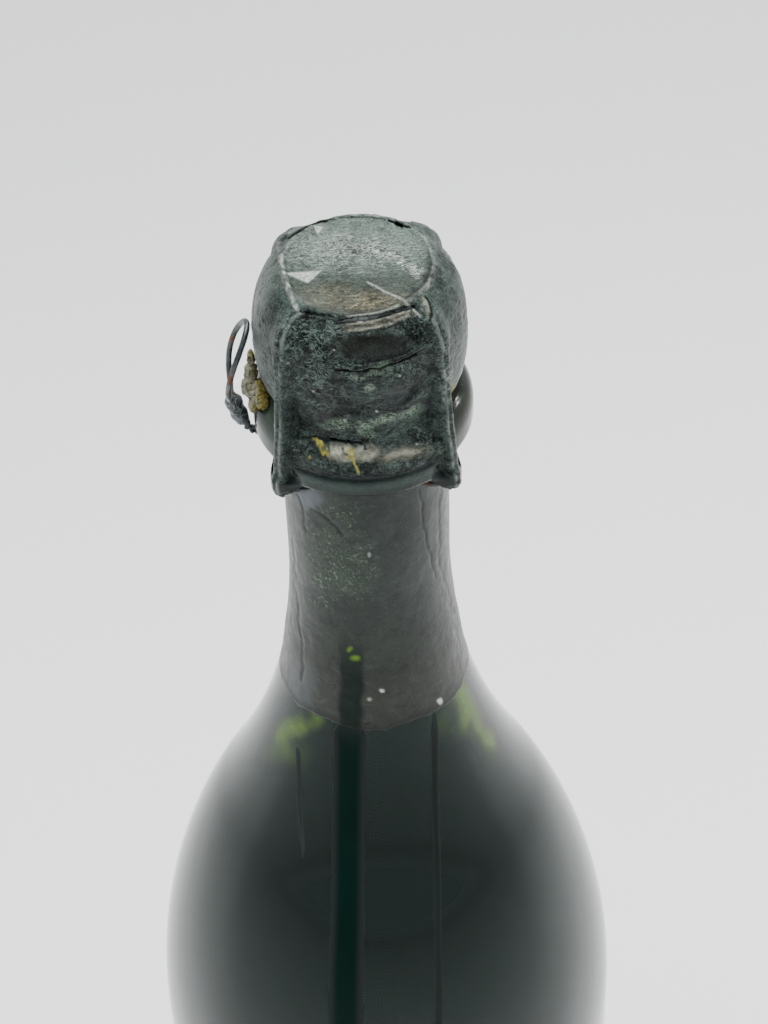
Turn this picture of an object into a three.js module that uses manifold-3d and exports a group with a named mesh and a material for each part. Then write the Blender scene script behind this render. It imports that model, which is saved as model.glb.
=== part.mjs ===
// A champagne bottle with its cork, wire cage, foil hood and neck foil.
// Millimetres, +Z up. The origin is the centre of the ring that the bottle stands on.
// Azimuths are measured from the front (-Y) towards the right (+X).

import * as THREE from 'three';
import { mergeVertices } from 'three/addons/utils/BufferGeometryUtils.js';
import Module from 'manifold-3d';

// Glass bottle
const BOTTLE_HEIGHT = 300;
const BODY_RADIUS = 44.2;
const BODY_WALL = 4;
const SHOULDER_HEIGHT = 140.5;
const SHOULDER_BULGE_SHARE = 0.48;
const NECK_LENGTH = 27;
const NECK_WALL = 4.3;
const BORE_RADIUS = 9;
const MOUTH_CHAMFER = 0.6;
const LIP_OVERHANG = 4.5;
const LIP_ROUND_WIDTH = 3.8;
const LIP_ROUND_HEIGHT = 5;
const LIP_BAND_HEIGHT = 2;
const LIP_UNDER_HEIGHT = 3;
const LIP_FILLET = 1;
const HEEL_WIDTH = 8.2;
const HEEL_HEIGHT = 10;
const STANDING_RING_WIDTH = 6;
const PUNT_DEPTH = 34;
const PUNT_SLOPE_RUN = 14;
const PUNT_WALL = 7;
const FLOOR_GROOVE_HEIGHT = 9;

// Cork
const CORK_DEPTH = 27;
const CORK_DISC_THICKNESS = 5.5;
const CORK_HEAD_HEIGHT = 21.2;
const CORK_WIDEST_HEIGHT = 11.5;
const CORK_TOP_RADIUS = 12.9;
const CORK_BULGE = 3.5;
const CORK_UNDERCUT = 2.9;
const CORK_END_CHAMFER = 0.8;

// Plaque under the wire
const PLAQUE_THICKNESS = 0.35;
const PLAQUE_INSET = 0.2;
const PLAQUE_DOME_HEIGHT = 0.7;
const PLAQUE_RIM_WIDTH = 1.6;
const PLAQUE_SLOPE_WIDTH = 0.6;

// Wire cage
const FRAME_WIRE_RADIUS = 0.35;
const BELT_WIRE_RADIUS = 0.5;
const CROWN_INSET = 0.8;
const LEG_COUNT = 4;
const LEG_TWISTS = 4.25;
const TWIST_ANGLE = 42;
const EYE_TAIL = 1.9;
const EYE_TAIL_TWISTS = 0.25;
const EYE_HALF_LENGTH = 1;

// Pull loop, the belt wire's twisted tail
const BELT_TAIL_SPREAD = 5;
const BEND_GAP = 0.7;
const LOOP_STEM_LENGTH = 7;
const LOOP_STEM_TWISTS = 1.5;
const LOOP_LENGTH = 14.5;
const LOOP_HALF_WIDTH = 4.4;
const LOOP_BOW = 2.6;

// Foil hood and neck foil
const FOIL_THICKNESS = 0.3;
const HOOD_SKIRT = 9;
const TEAR_HALF_WIDTH = 11.5;
const TEAR_RISE = 3.5;
const TEAR_CORNER_RADIUS = 5;
const RIDGE_HALF_ANGLE = 5;
const RIDGE_FADE_ANGLE = 25;
const NECK_FOIL_LENGTH = 56;
const NECK_FOIL_TOP_GAP = 1.5;

// Clearances
const CORK_FIT = 0.3;
const SEAT_GAP = 0.1;
const WIRE_GAP = 0.2;
const LIFT_GAP = 0.25;
const FOIL_GAP = 0.3;
const NECK_FOIL_FIT = 0.15;

// Facets
const GLASS_SEGMENTS = 36;
const CORK_SEGMENTS = 36;
const HOOD_SEGMENTS = 72;
const ARC_STEPS = 4;
const SHOULDER_STEPS = 6;
const PUNT_STEPS = 6;
const NECK_FOIL_STEPS = 6;
const WIRE_SIDES = 5;
const LENGTH_DIVISIONS = 12;
const HEAD_ANGLES = [75, 60, TWIST_ANGLE, 20, 0];
const LEG_SAMPLES = 80;
const FRAME_WIRE_STEPS = 112;
const BELT_STEPS = 36;
const MERGE_DISTANCE = 1e-4;

// Sizes that follow from the driving ones
const neckRadius = BORE_RADIUS + NECK_WALL;
const lipRadius = neckRadius + LIP_OVERHANG;
const lipBottom = BOTTLE_HEIGHT - LIP_ROUND_HEIGHT - LIP_BAND_HEIGHT - LIP_UNDER_HEIGHT;
const neckFoot = lipBottom - NECK_LENGTH;
const ringOuter = BODY_RADIUS - HEEL_WIDTH;
const ringInner = ringOuter - STANDING_RING_WIDTH;
const corkTop = BOTTLE_HEIGHT + CORK_HEAD_HEIGHT;
const corkWidest = BOTTLE_HEIGHT + CORK_WIDEST_HEIGHT;
const corkHeadRadius = CORK_TOP_RADIUS + CORK_BULGE;
const corkShankRadius = BORE_RADIUS - CORK_FIT;
const plaqueRadius = CORK_TOP_RADIUS - PLAQUE_INSET;
const plaqueSeat = corkTop + SEAT_GAP;
const plaqueRimTop = plaqueSeat + PLAQUE_THICKNESS;
const crownRadius = plaqueRadius - CROWN_INSET;
const crownHeight = plaqueRimTop + SEAT_GAP + FRAME_WIRE_RADIUS;
const strandOffset = FRAME_WIRE_RADIUS + WIRE_GAP / 2;
const twistHalf = strandOffset + FRAME_WIRE_RADIUS;
const eyeOffset = BELT_WIRE_RADIUS + FRAME_WIRE_RADIUS + WIRE_GAP;
const legRadius = lipRadius + LIFT_GAP + twistHalf;
const eyeRadius = lipRadius + LIFT_GAP + eyeOffset + FRAME_WIRE_RADIUS;
const beltHeight = lipBottom - WIRE_GAP - BELT_WIRE_RADIUS;
const neckFoilOuter = neckRadius + NECK_FOIL_FIT + FOIL_THICKNESS;
const gripRadius = neckFoilOuter + WIRE_GAP + BELT_WIRE_RADIUS;
const loopStrandOffset = BELT_WIRE_RADIUS + WIRE_GAP / 2;
const hingeRadius = lipRadius + LIFT_GAP + loopStrandOffset + BELT_WIRE_RADIUS;
const loopTopRadius = corkHeadRadius + FOIL_GAP + FOIL_THICKNESS + FOIL_GAP + BELT_WIRE_RADIUS;
const hoodTop = crownHeight + FRAME_WIRE_RADIUS + FOIL_GAP;
const hoodHem = BOTTLE_HEIGHT - HOOD_SKIRT;
const FRONT = 0;
const LEFT = -Math.PI / 2;

const wasm = await Module();
wasm.setup();

const radians = THREE.MathUtils.degToRad;
const lerp = THREE.MathUtils.lerp;

// A point of an outline: radius and height.
function at(radius, height) {
  return new THREE.Vector2(radius, height);
}

// A point in space from its azimuth, radius and height.
function polar(azimuth, radius, height) {
  return new THREE.Vector3(radius * Math.sin(azimuth), -radius * Math.cos(azimuth), height);
}

// Points on an ellipse from one angle to another, in degrees, both ends included.
function ellipseArc(centre, radiusX, radiusY, from, to, steps = ARC_STEPS) {
  const points = [];
  for (let i = 0; i <= steps; i += 1) {
    const angle = radians(lerp(from, to, i / steps));
    points.push(at(centre.x + radiusX * Math.cos(angle), centre.y + radiusY * Math.sin(angle)));
  }
  return points;
}

// Turns a closed outline round the Z axis.
function revolve(outline, segments) {
  return new THREE.LatheGeometry(outline, segments).rotateX(Math.PI / 2);
}

// Sweeps a round wire along a smooth curve through the given points.
function wire(points, radius, steps) {
  const path = new THREE.CatmullRomCurve3(points, false, 'centripetal');
  path.arcLengthDivisions = steps * LENGTH_DIVISIONS;
  const corners = ellipseArc(at(0, 0), radius, radius, 0, 360, WIRE_SIDES).slice(1);
  const section = new THREE.Shape(corners);
  return new THREE.ExtrudeGeometry(section, { steps, bevelEnabled: false, extrudePath: path });
}

// Moves each point of an outline along the outline's own normal.
function offsetOutline(points, distance) {
  return points.map((point, i) => {
    const before = points[Math.max(i - 1, 0)];
    const after = points[Math.min(i + 1, points.length - 1)];
    const along = after.clone().sub(before).normalize();
    return at(point.x - along.y * distance, point.y + along.x * distance);
  });
}

// Turns a closed geometry into a solid for cutting, without the empty triangles on a lathe's axis.
function toSolid(geometry) {
  const plain = geometry.clone();
  plain.deleteAttribute('normal');
  plain.deleteAttribute('uv');
  const merged = mergeVertices(plain, MERGE_DISTANCE);
  const corners = Array.from(merged.index.array);
  const triangles = [];
  for (let i = 0; i < corners.length; i += 3) {
    const triangle = corners.slice(i, i + 3);
    if (new Set(triangle).size === 3) triangles.push(...triangle);
  }
  return new wasm.Manifold(new wasm.Mesh({
    numProp: 3,
    vertProperties: new Float32Array(merged.attributes.position.array),
    triVerts: new Uint32Array(triangles),
  }));
}

// Turns a solid back into a geometry.
function toGeometry(solid) {
  const mesh = solid.getMesh();
  const geometry = new THREE.BufferGeometry();
  geometry.setAttribute('position', new THREE.BufferAttribute(new Float32Array(mesh.vertProperties), 3));
  geometry.setIndex(Array.from(mesh.triVerts));
  geometry.computeVertexNormals();
  return geometry;
}

// The slope from the straight body to the straight neck: two arcs that meet with one tangent.
// It is used for the outside and, with smaller radii, for the inside of the wall.
function shoulderSlope(bodyRadius, topRadius) {
  const rise = neckFoot - SHOULDER_HEIGHT;
  const steepest = 2 * Math.atan2(bodyRadius - topRadius, rise);
  const bulgeRadius = (rise * SHOULDER_BULGE_SHARE) / Math.sin(steepest);
  const hollowRadius = (rise * (1 - SHOULDER_BULGE_SHARE)) / Math.sin(steepest);
  const degrees = THREE.MathUtils.radToDeg(steepest);
  const bulge = ellipseArc(at(bodyRadius - bulgeRadius, SHOULDER_HEIGHT), bulgeRadius, bulgeRadius,
    0, degrees, SHOULDER_STEPS);
  const hollow = ellipseArc(at(topRadius + hollowRadius, neckFoot), hollowRadius, hollowRadius,
    180 + degrees, 180, SHOULDER_STEPS);
  return [...bulge, ...hollow.slice(1)];
}

// The outer radius of the glass at a height on the shoulder or neck.
function glassRadiusAt(height) {
  const slope = shoulderSlope(BODY_RADIUS, neckRadius);
  const upper = slope.findIndex((point) => point.y >= height);
  if (upper === -1) return neckRadius;
  if (upper === 0) return BODY_RADIUS;
  const [a, b] = [slope[upper - 1], slope[upper]];
  return lerp(a.x, b.x, (height - a.y) / (b.y - a.y));
}

// The bottle's outline runs under the punt, up the outside, over the lip and down the inside.
function glassBottle() {
  const innerRadius = BODY_RADIUS - BODY_WALL;
  const grooveRadius = (ringInner + ringOuter) / 2;
  const puntEdge = ringInner - PUNT_SLOPE_RUN;
  const floorTop = PUNT_DEPTH + PUNT_WALL;
  const lipRoundCentre = at(lipRadius - LIP_ROUND_WIDTH, BOTTLE_HEIGHT - LIP_ROUND_HEIGHT);
  const underCentre = at(neckRadius + LIP_FILLET, lipBottom + LIP_UNDER_HEIGHT);
  const punt = new THREE.QuadraticBezierCurve(at(0, PUNT_DEPTH), at(puntEdge, PUNT_DEPTH), at(ringInner, 0));
  const floor = new THREE.QuadraticBezierCurve(at(grooveRadius, PUNT_WALL),
    at(puntEdge + PUNT_WALL, floorTop), at(0, floorTop));
  const outline = [
    ...punt.getPoints(PUNT_STEPS),
    ...ellipseArc(at(ringOuter, HEEL_HEIGHT), HEEL_WIDTH, HEEL_HEIGHT, -90, 0),
    ...shoulderSlope(BODY_RADIUS, neckRadius),
    at(neckRadius, lipBottom - LIP_FILLET),
    at(neckRadius + LIP_FILLET, lipBottom),
    ...ellipseArc(underCentre, LIP_OVERHANG - LIP_FILLET, LIP_UNDER_HEIGHT, -90, 0).slice(1),
    ...ellipseArc(lipRoundCentre, LIP_ROUND_WIDTH, LIP_ROUND_HEIGHT, 0, 90),
    at(BORE_RADIUS + MOUTH_CHAMFER, BOTTLE_HEIGHT),
    at(BORE_RADIUS, BOTTLE_HEIGHT - MOUTH_CHAMFER),
    ...shoulderSlope(innerRadius, BORE_RADIUS).reverse(),
    ...ellipseArc(at(grooveRadius, PUNT_WALL + FLOOR_GROOVE_HEIGHT), innerRadius - grooveRadius,
      FLOOR_GROOVE_HEIGHT, 0, -90),
    ...floor.getPoints(PUNT_STEPS).slice(1),
  ];
  return revolve(outline, GLASS_SEGMENTS);
}

// A thin sleeve that follows the neck and the top of the shoulder.
function neckFoil() {
  const top = lipBottom - NECK_FOIL_TOP_GAP;
  const inside = [];
  for (let i = 0; i <= NECK_FOIL_STEPS; i += 1) {
    const height = top - (NECK_FOIL_LENGTH * i) / NECK_FOIL_STEPS;
    inside.push(at(glassRadiusAt(height) + NECK_FOIL_FIT, height));
  }
  const outside = offsetOutline(inside, FOIL_THICKNESS).reverse();
  return revolve([...inside, ...outside, inside[0]], GLASS_SEGMENTS);
}

// The cork's round head, its shank and the flat end that the discs are glued to.
function corkBody() {
  const end = BOTTLE_HEIGHT - CORK_DEPTH + 2 * CORK_DISC_THICKNESS;
  const foot = BOTTLE_HEIGHT + SEAT_GAP;
  const outline = [
    at(0, end),
    at(corkShankRadius, end),
    at(corkShankRadius, foot),
    ...ellipseArc(at(corkHeadRadius - CORK_UNDERCUT, corkWidest), CORK_UNDERCUT, corkWidest - foot, -90, 0),
    ...ellipseArc(at(CORK_TOP_RADIUS, corkWidest), CORK_BULGE, corkTop - corkWidest, 0, 90).slice(1),
    at(0, corkTop),
  ];
  return revolve(outline, CORK_SEGMENTS);
}

// One of the two discs under the shank, counted from the top, with the lowest edge chamfered.
function corkDisc(index) {
  const shankEnd = BOTTLE_HEIGHT - CORK_DEPTH + 2 * CORK_DISC_THICKNESS;
  const top = shankEnd - index * CORK_DISC_THICKNESS - SEAT_GAP;
  const bottom = shankEnd - (index + 1) * CORK_DISC_THICKNESS;
  const chamfer = index === 1 ? [at(corkShankRadius - CORK_END_CHAMFER, bottom),
    at(corkShankRadius, bottom + CORK_END_CHAMFER)] : [at(corkShankRadius, bottom)];
  return revolve([at(0, bottom), ...chamfer, at(corkShankRadius, top), at(0, top)], CORK_SEGMENTS);
}

// The pressed plaque: a flat rim that the wire lies on, round a low dome.
function plaque() {
  const rimInner = plaqueRadius - PLAQUE_RIM_WIDTH;
  const domeEdge = rimInner - PLAQUE_SLOPE_WIDTH;
  const outline = [
    at(0, plaqueSeat + PLAQUE_DOME_HEIGHT),
    at(domeEdge - PLAQUE_THICKNESS, plaqueSeat + PLAQUE_DOME_HEIGHT),
    at(rimInner - PLAQUE_THICKNESS, plaqueSeat),
    at(plaqueRadius, plaqueSeat),
    at(plaqueRadius, plaqueRimTop),
    at(rimInner, plaqueRimTop),
    at(domeEdge, plaqueRimTop + PLAQUE_DOME_HEIGHT),
    at(0, plaqueRimTop + PLAQUE_DOME_HEIGHT),
  ];
  return revolve(outline, CORK_SEGMENTS);
}

// A point beside the cork's head, at an angle up from its widest place and a distance off the cork.
function besideHead(degrees, distance) {
  const [point] = ellipseArc(at(CORK_TOP_RADIUS, corkWidest), CORK_BULGE + distance,
    corkTop - corkWidest + distance, degrees, degrees, 1);
  return point;
}

// How far the middle of a leg lies off the cork: its strands lie flat on top and twist lower down.
function legOffset(degrees) {
  const share = Math.max(0, (degrees - TWIST_ANGLE) / (HEAD_ANGLES[0] - TWIST_ANGLE));
  return lerp(twistHalf, FRAME_WIRE_RADIUS, share) + WIRE_GAP;
}

// The middle line of a leg as radius and height, from the crown ring down past the belt.
const legLine = new THREE.SplineCurve([
  at(crownRadius, crownHeight),
  at(plaqueRadius + WIRE_GAP, crownHeight),
  ...HEAD_ANGLES.map((degrees) => besideHead(degrees, legOffset(degrees))),
  at(lerp(corkHeadRadius + twistHalf + WIRE_GAP, legRadius, 0.6), BOTTLE_HEIGHT),
  at(legRadius, BOTTLE_HEIGHT - LIP_ROUND_HEIGHT),
  at(lerp(legRadius, eyeRadius, 0.3), lipBottom + LIP_UNDER_HEIGHT / 2),
  at(eyeRadius, beltHeight),
  at(eyeRadius, beltHeight - EYE_TAIL),
]);
const legPoints = legLine.getSpacedPoints(LEG_SAMPLES);
const legLength = legLine.getLength();
const legStep = legLength / LEG_SAMPLES;
const eyeAlong = legLength - EYE_TAIL;
const twistFrom = legStep * legPoints.findIndex((point) => point.x >= besideHead(TWIST_ANGLE, 0).x);
const twistTo = eyeAlong - EYE_HALF_LENGTH;

// The turns that a leg's strands have made, at a distance along the leg. They lie still in the eye.
function turnsAt(along) {
  const above = THREE.MathUtils.clamp((along - twistFrom) / (twistTo - twistFrom), 0, 1);
  const below = Math.max(0, (along - eyeAlong - EYE_HALF_LENGTH) / (EYE_TAIL - EYE_HALF_LENGTH));
  return above * LEG_TWISTS + below * EYE_TAIL_TWISTS;
}

// How far a leg's strands are opened round the belt: 1 in the middle of the eye, 0 outside it.
function eyeOpening(along) {
  const share = Math.min(1, Math.abs(along - eyeAlong) / (2 * EYE_HALF_LENGTH));
  return (1 + Math.cos(Math.PI * share)) / 2;
}

// One strand of a leg, from the crown down. Side is +1 for the strand on the higher azimuth.
function legStrand(azimuth, side) {
  const across = new THREE.Vector3(Math.cos(azimuth), Math.sin(azimuth), 0);
  return legPoints.map((point, i) => {
    const angle = Math.PI / 2 + turnsAt(i * legStep) * 2 * Math.PI;
    const offset = side * lerp(strandOffset, eyeOffset, eyeOpening(i * legStep));
    const along = legLine.getTangentAt(i / LEG_SAMPLES);
    return polar(azimuth, point.x, point.y)
      .addScaledVector(polar(azimuth, -along.y, along.x), offset * Math.cos(angle))
      .addScaledVector(across, offset * Math.sin(angle));
  });
}

// The azimuth of a leg, counted from the front left one towards the right.
function legAzimuth(index) {
  return radians((360 / LEG_COUNT) * (index - 0.5));
}

// One wire of the cage: up one leg, along the crown ring and down the next leg.
function frameWire(index) {
  const from = legAzimuth(index);
  const to = legAzimuth(index + 1);
  const cornerAngle = (2 * strandOffset) / crownRadius;
  const ring = [];
  for (let i = 0; i <= ARC_STEPS; i += 1) {
    const azimuth = lerp(from + cornerAngle, to - cornerAngle, i / ARC_STEPS);
    ring.push(polar(azimuth, crownRadius, crownHeight));
  }
  const up = legStrand(from, 1).slice(1).reverse();
  const down = legStrand(to, -1).slice(1);
  return wire([...up, ...ring, ...down], FRAME_WIRE_RADIUS, FRAME_WIRE_STEPS);
}

// The belt hugs the neck between the legs, passes through their eyes and ends in two tails on the left.
function beltRadiusAt(azimuth) {
  const wave = (1 + Math.cos(LEG_COUNT * (azimuth - legAzimuth(0)))) / 2;
  return lerp(gripRadius, eyeRadius, wave);
}

function cageBelt() {
  const spread = BELT_TAIL_SPREAD / gripRadius;
  const ring = [];
  for (let i = 0; i <= BELT_STEPS; i += 1) {
    const azimuth = lerp(LEFT + spread, LEFT + 2 * Math.PI - spread, i / BELT_STEPS);
    ring.push(polar(azimuth, beltRadiusAt(azimuth), beltHeight));
  }
  const tail = (y) => [
    new THREE.Vector3(BEND_GAP - hingeRadius, y, beltHeight),
    new THREE.Vector3(-(hingeRadius + gripRadius) / 2 - BEND_GAP, y, beltHeight),
  ];
  const points = [...tail(-loopStrandOffset), ...ring, ...tail(loopStrandOffset).reverse()];
  return wire(points, BELT_WIRE_RADIUS, 2 * BELT_STEPS);
}

// The pull loop at rest, folded up beside the lip: a twisted stem and an open loop, made of one wire.
function pullLoop() {
  const start = beltHeight + BEND_GAP;
  const total = LOOP_STEM_LENGTH + LOOP_LENGTH;
  const outAt = (rise) => {
    const share = rise / total;
    return lerp(hingeRadius, loopTopRadius, share ** 2) + LOOP_BOW * Math.sin(Math.PI * share);
  };
  const stemSteps = 8;
  const strand = (side) => {
    const points = [];
    for (let i = 0; i <= stemSteps; i += 1) {
      const share = i / stemSteps;
      const angle = Math.PI * 2 * LOOP_STEM_TWISTS * share;
      const rise = LOOP_STEM_LENGTH * share;
      const out = outAt(rise) + side * loopStrandOffset * Math.sin(angle);
      points.push(new THREE.Vector3(-out, side * loopStrandOffset * Math.cos(angle), start + rise));
    }
    return points;
  };
  const loopSteps = 14;
  const openSide = Math.cos(Math.PI * 2 * LOOP_STEM_TWISTS);
  const loop = [];
  for (let i = 1; i < loopSteps; i += 1) {
    const angle = (Math.PI * 2 * i) / loopSteps;
    const rise = LOOP_STEM_LENGTH + (LOOP_LENGTH * (1 - Math.cos(angle))) / 2;
    loop.push(new THREE.Vector3(-outAt(rise), openSide * LOOP_HALF_WIDTH * Math.sin(angle), start + rise));
  }
  const points = [...strand(1), ...loop, ...strand(-1).reverse()];
  return wire(points, BELT_WIRE_RADIUS, 4 * loopSteps + 4 * stemSteps);
}

// The leg's middle line at a height below the cork's widest place.
function legRadiusAt(height) {
  return legPoints.find((point) => point.y <= height).x;
}

// The hood's inside beside the cork, and over a leg, as matching rows from the axis to the hem.
function hoodRows(overLeg) {
  const lipRow = BOTTLE_HEIGHT - LIP_ROUND_HEIGHT;
  const ridge = twistHalf + FOIL_GAP;
  const headGap = (degrees) => (overLeg ? 2 * legOffset(degrees) - WIRE_GAP : 0) + FOIL_GAP;
  const rows = [at(0, hoodTop), at(crownRadius + FRAME_WIRE_RADIUS, hoodTop)];
  rows.push(...HEAD_ANGLES.map((degrees) => besideHead(degrees, headGap(degrees))));
  for (const height of [BOTTLE_HEIGHT + TEAR_RISE, lipRow, hoodHem]) {
    const plain = (height > BOTTLE_HEIGHT ? corkHeadRadius : Math.max(corkHeadRadius, lipRadius)) + FOIL_GAP;
    rows.push(at(overLeg ? Math.max(plain, legRadiusAt(height) + ridge) : plain, height));
  }
  return rows;
}

// How much of a ridge an azimuth takes: all of it on a leg, none of it midway between two legs.
function ridgeShare(azimuth) {
  const spacing = (2 * Math.PI) / LEG_COUNT;
  const fromLeg = (azimuth - legAzimuth(0)) / spacing;
  const degrees = Math.abs(fromLeg - Math.round(fromLeg)) * (360 / LEG_COUNT);
  return 1 - THREE.MathUtils.smoothstep(degrees, RIDGE_HALF_ANGLE, RIDGE_FADE_ANGLE);
}

// The hood: a cap pressed over the cork and the four legs, torn open in an arch on each side.
function hoodFoil() {
  const beside = hoodRows(false);
  const over = hoodRows(true);
  const outlineAt = (azimuth) => {
    const share = ridgeShare(azimuth);
    const inside = beside.map((point, i) => point.clone().lerp(over[i], share));
    const outside = offsetOutline(inside, FOIL_THICKNESS);
    outside[0].x = 0;
    return [...inside, ...outside.reverse()];
  };
  const rows = outlineAt(FRONT).length;
  const cap = new THREE.LatheGeometry(outlineAt(FRONT), HOOD_SEGMENTS);
  const position = cap.attributes.position;
  for (let column = 0; column <= HOOD_SEGMENTS; column += 1) {
    const azimuth = (2 * Math.PI * (column % HOOD_SEGMENTS)) / HOOD_SEGMENTS;
    outlineAt(azimuth).forEach((point, row) => {
      const place = polar(azimuth, point.x, point.y);
      position.setXYZ(column * rows + row, place.x, place.y, place.z);
    });
  }
  return toGeometry(toSolid(cap).subtract(toSolid(tearCutter())));
}

// The arch that both side tears are cut with, through the hood from left to right.
function tearCutter() {
  const top = BOTTLE_HEIGHT + TEAR_RISE;
  const bottom = hoodHem - HOOD_SKIRT;
  const inner = TEAR_HALF_WIDTH - TEAR_CORNER_RADIUS;
  const corner = (side, from, to) => ellipseArc(at(side * inner, top - TEAR_CORNER_RADIUS),
    TEAR_CORNER_RADIUS, TEAR_CORNER_RADIUS, from, to);
  const arch = new THREE.Shape([
    at(-TEAR_HALF_WIDTH, bottom),
    at(TEAR_HALF_WIDTH, bottom),
    ...corner(1, 0, 90),
    ...corner(-1, 90, 180),
  ]);
  const depth = 4 * legRadius;
  const cutter = new THREE.ExtrudeGeometry(arch, { depth, bevelEnabled: false });
  return cutter.translate(0, 0, -depth / 2).rotateX(Math.PI / 2).rotateZ(Math.PI / 2);
}

// Finishes, one for each kind of material
const FINISHES = {
  glass: { color: 0x1b2a1e, roughness: 0.06, metalness: 0 },
  foil: { color: 0x3c4441, roughness: 0.55, metalness: 0.6 },
  neckFoil: { color: 0x46494a, roughness: 0.5, metalness: 0.5 },
  cork: { color: 0xb39a62, roughness: 0.9, metalness: 0 },
  tin: { color: 0x77776c, roughness: 0.45, metalness: 0.9 },
  wire: { color: 0x6b7778, roughness: 0.5, metalness: 0.9 },
};

function piece(name, geometry, finish) {
  const mesh = new THREE.Mesh(geometry, new THREE.MeshStandardMaterial(FINISHES[finish]));
  mesh.name = name;
  return mesh;
}

const bottle = new THREE.Group();
bottle.add(piece('glass_bottle', glassBottle(), 'glass'));
bottle.add(piece('neck_foil', neckFoil(), 'neckFoil'));

const cork = new THREE.Group();
cork.add(piece('cork_body', corkBody(), 'cork'));
cork.add(piece('cork_disc_upper', corkDisc(0), 'cork'));
cork.add(piece('cork_disc_lower', corkDisc(1), 'cork'));

const cage = new THREE.Group();
cage.add(piece('plaque', plaque(), 'tin'));
['front', 'right', 'back', 'left'].forEach((side, index) => {
  cage.add(piece(`cage_wire_${side}`, frameWire(index), 'wire'));
});
cage.add(piece('cage_belt', cageBelt(), 'wire'));
cage.add(piece('pull_loop', pullLoop(), 'wire'));

const hood = new THREE.Group();
hood.add(piece('hood_foil', hoodFoil(), 'foil'));

const champagneBottle = new THREE.Group();
champagneBottle.add(bottle, cork, cage, hood);

export default champagneBottle;
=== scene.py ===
# An old champagne bottle seen from above its head: dark glass, aged foil, wire cage and cork.
# Shapes are written in millimetres, in the part's own frame, and become metres in the meshes.
# Azimuths are measured from the front (-Y) towards the right (+X).
# Marks on foil and glass are placed by pixels of the photograph's frame, which is 768 x 1024.
import math
import bpy
import numpy as np
from mathutils import Matrix, Vector


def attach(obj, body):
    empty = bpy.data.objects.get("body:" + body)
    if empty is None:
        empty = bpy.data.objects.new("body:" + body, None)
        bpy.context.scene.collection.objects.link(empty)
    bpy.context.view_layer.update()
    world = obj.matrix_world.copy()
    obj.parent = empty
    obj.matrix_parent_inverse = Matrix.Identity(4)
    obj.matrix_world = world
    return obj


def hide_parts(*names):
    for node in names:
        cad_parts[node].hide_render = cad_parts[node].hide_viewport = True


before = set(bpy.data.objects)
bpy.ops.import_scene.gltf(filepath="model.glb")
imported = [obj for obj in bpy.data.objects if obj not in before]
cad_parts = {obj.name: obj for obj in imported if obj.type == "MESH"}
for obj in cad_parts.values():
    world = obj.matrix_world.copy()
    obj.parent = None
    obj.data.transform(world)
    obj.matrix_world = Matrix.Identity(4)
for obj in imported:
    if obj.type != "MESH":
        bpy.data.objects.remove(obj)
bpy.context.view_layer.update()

MM = 0.001
FULL_TURN = 2 * np.pi
scene = bpy.context.scene

# Camera, fitted to the outline in the photograph
PHOTO_LONG_SIDE = 1024
PHOTO_MIDDLE = (367.83, 512.0)
PHOTO_HALF_WIDTH = 384
FOCAL_PIXELS = 2730.0
SENSOR = 36.0
CAMERA_PLACE = np.array([0.0, -327.6, 592.2])
CAMERA_PITCH = math.radians(44.606)
CAMERA_ROLL = math.radians(2.435)

# Studio
FLOOR_REACH = 9000
FLOOR_STEPS = 24
# Each lamp has its name, its place, target and size in metres, and its power in watts
LAMPS = (
    ("lamp_top", (0, 0.4, 3.2), (0, 0.2, 0), (4.0, 4.0), 175),
    ("lamp_key", (0.22, 0.62, 0.95), (0, 0, 0.3), (0.45, 0.3), 5),
    ("lamp_over", (-0.1, 0.0, 1.1), (0, 0, 0.3), (0.35, 0.35), 3.5),
    ("lamp_spot_upper", (0.5, 0.25, 0.53), (0, 0, 0.29), (0.03, 0.03), 0.5),
    ("lamp_spot_lower", (0.52, 0.2, 0.44), (0, 0, 0.29), (0.03, 0.05), 0.6),
)

# Glass
BOTTLE_HEIGHT = 300
BODY_RADIUS = 44.2
BODY_WALL = 4
SHOULDER_HEIGHT = 140.5
SHOULDER_BULGE_SHARE = 0.48
NECK_RADIUS = 13.3
BORE_RADIUS = 9
MOUTH_CHAMFER = 0.6
LIP_RADIUS = 17.8
LIP_ROUND_WIDTH = 3.8
LIP_ROUND_HEIGHT = 5
LIP_UNDER_HEIGHT = 3
LIP_FILLET = 1
LIP_BOTTOM = 290
LIP_ROUND_MIDDLE = (LIP_RADIUS - LIP_ROUND_WIDTH, BOTTLE_HEIGHT - LIP_ROUND_HEIGHT)
LIP_UNDER_MIDDLE = (NECK_RADIUS + LIP_FILLET, LIP_BOTTOM + LIP_UNDER_HEIGHT)
LIP_UNDER_WIDTH = LIP_RADIUS - NECK_RADIUS - LIP_FILLET
LIP_FILM_THICKNESS = 0.1
LIP_FILM_GAP = 0.02
NECK_FOOT = 263
HEEL_WIDTH = 8.2
HEEL_HEIGHT = 10
RING_OUTER = 36
RING_INNER = 30
PUNT_DEPTH = 34
PUNT_SLOPE_RUN = 14
PUNT_WALL = 7
FLOOR_GROOVE_HEIGHT = 9
GLASS_SEGMENTS = 200
LATHE_SEGMENTS = 144

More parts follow.
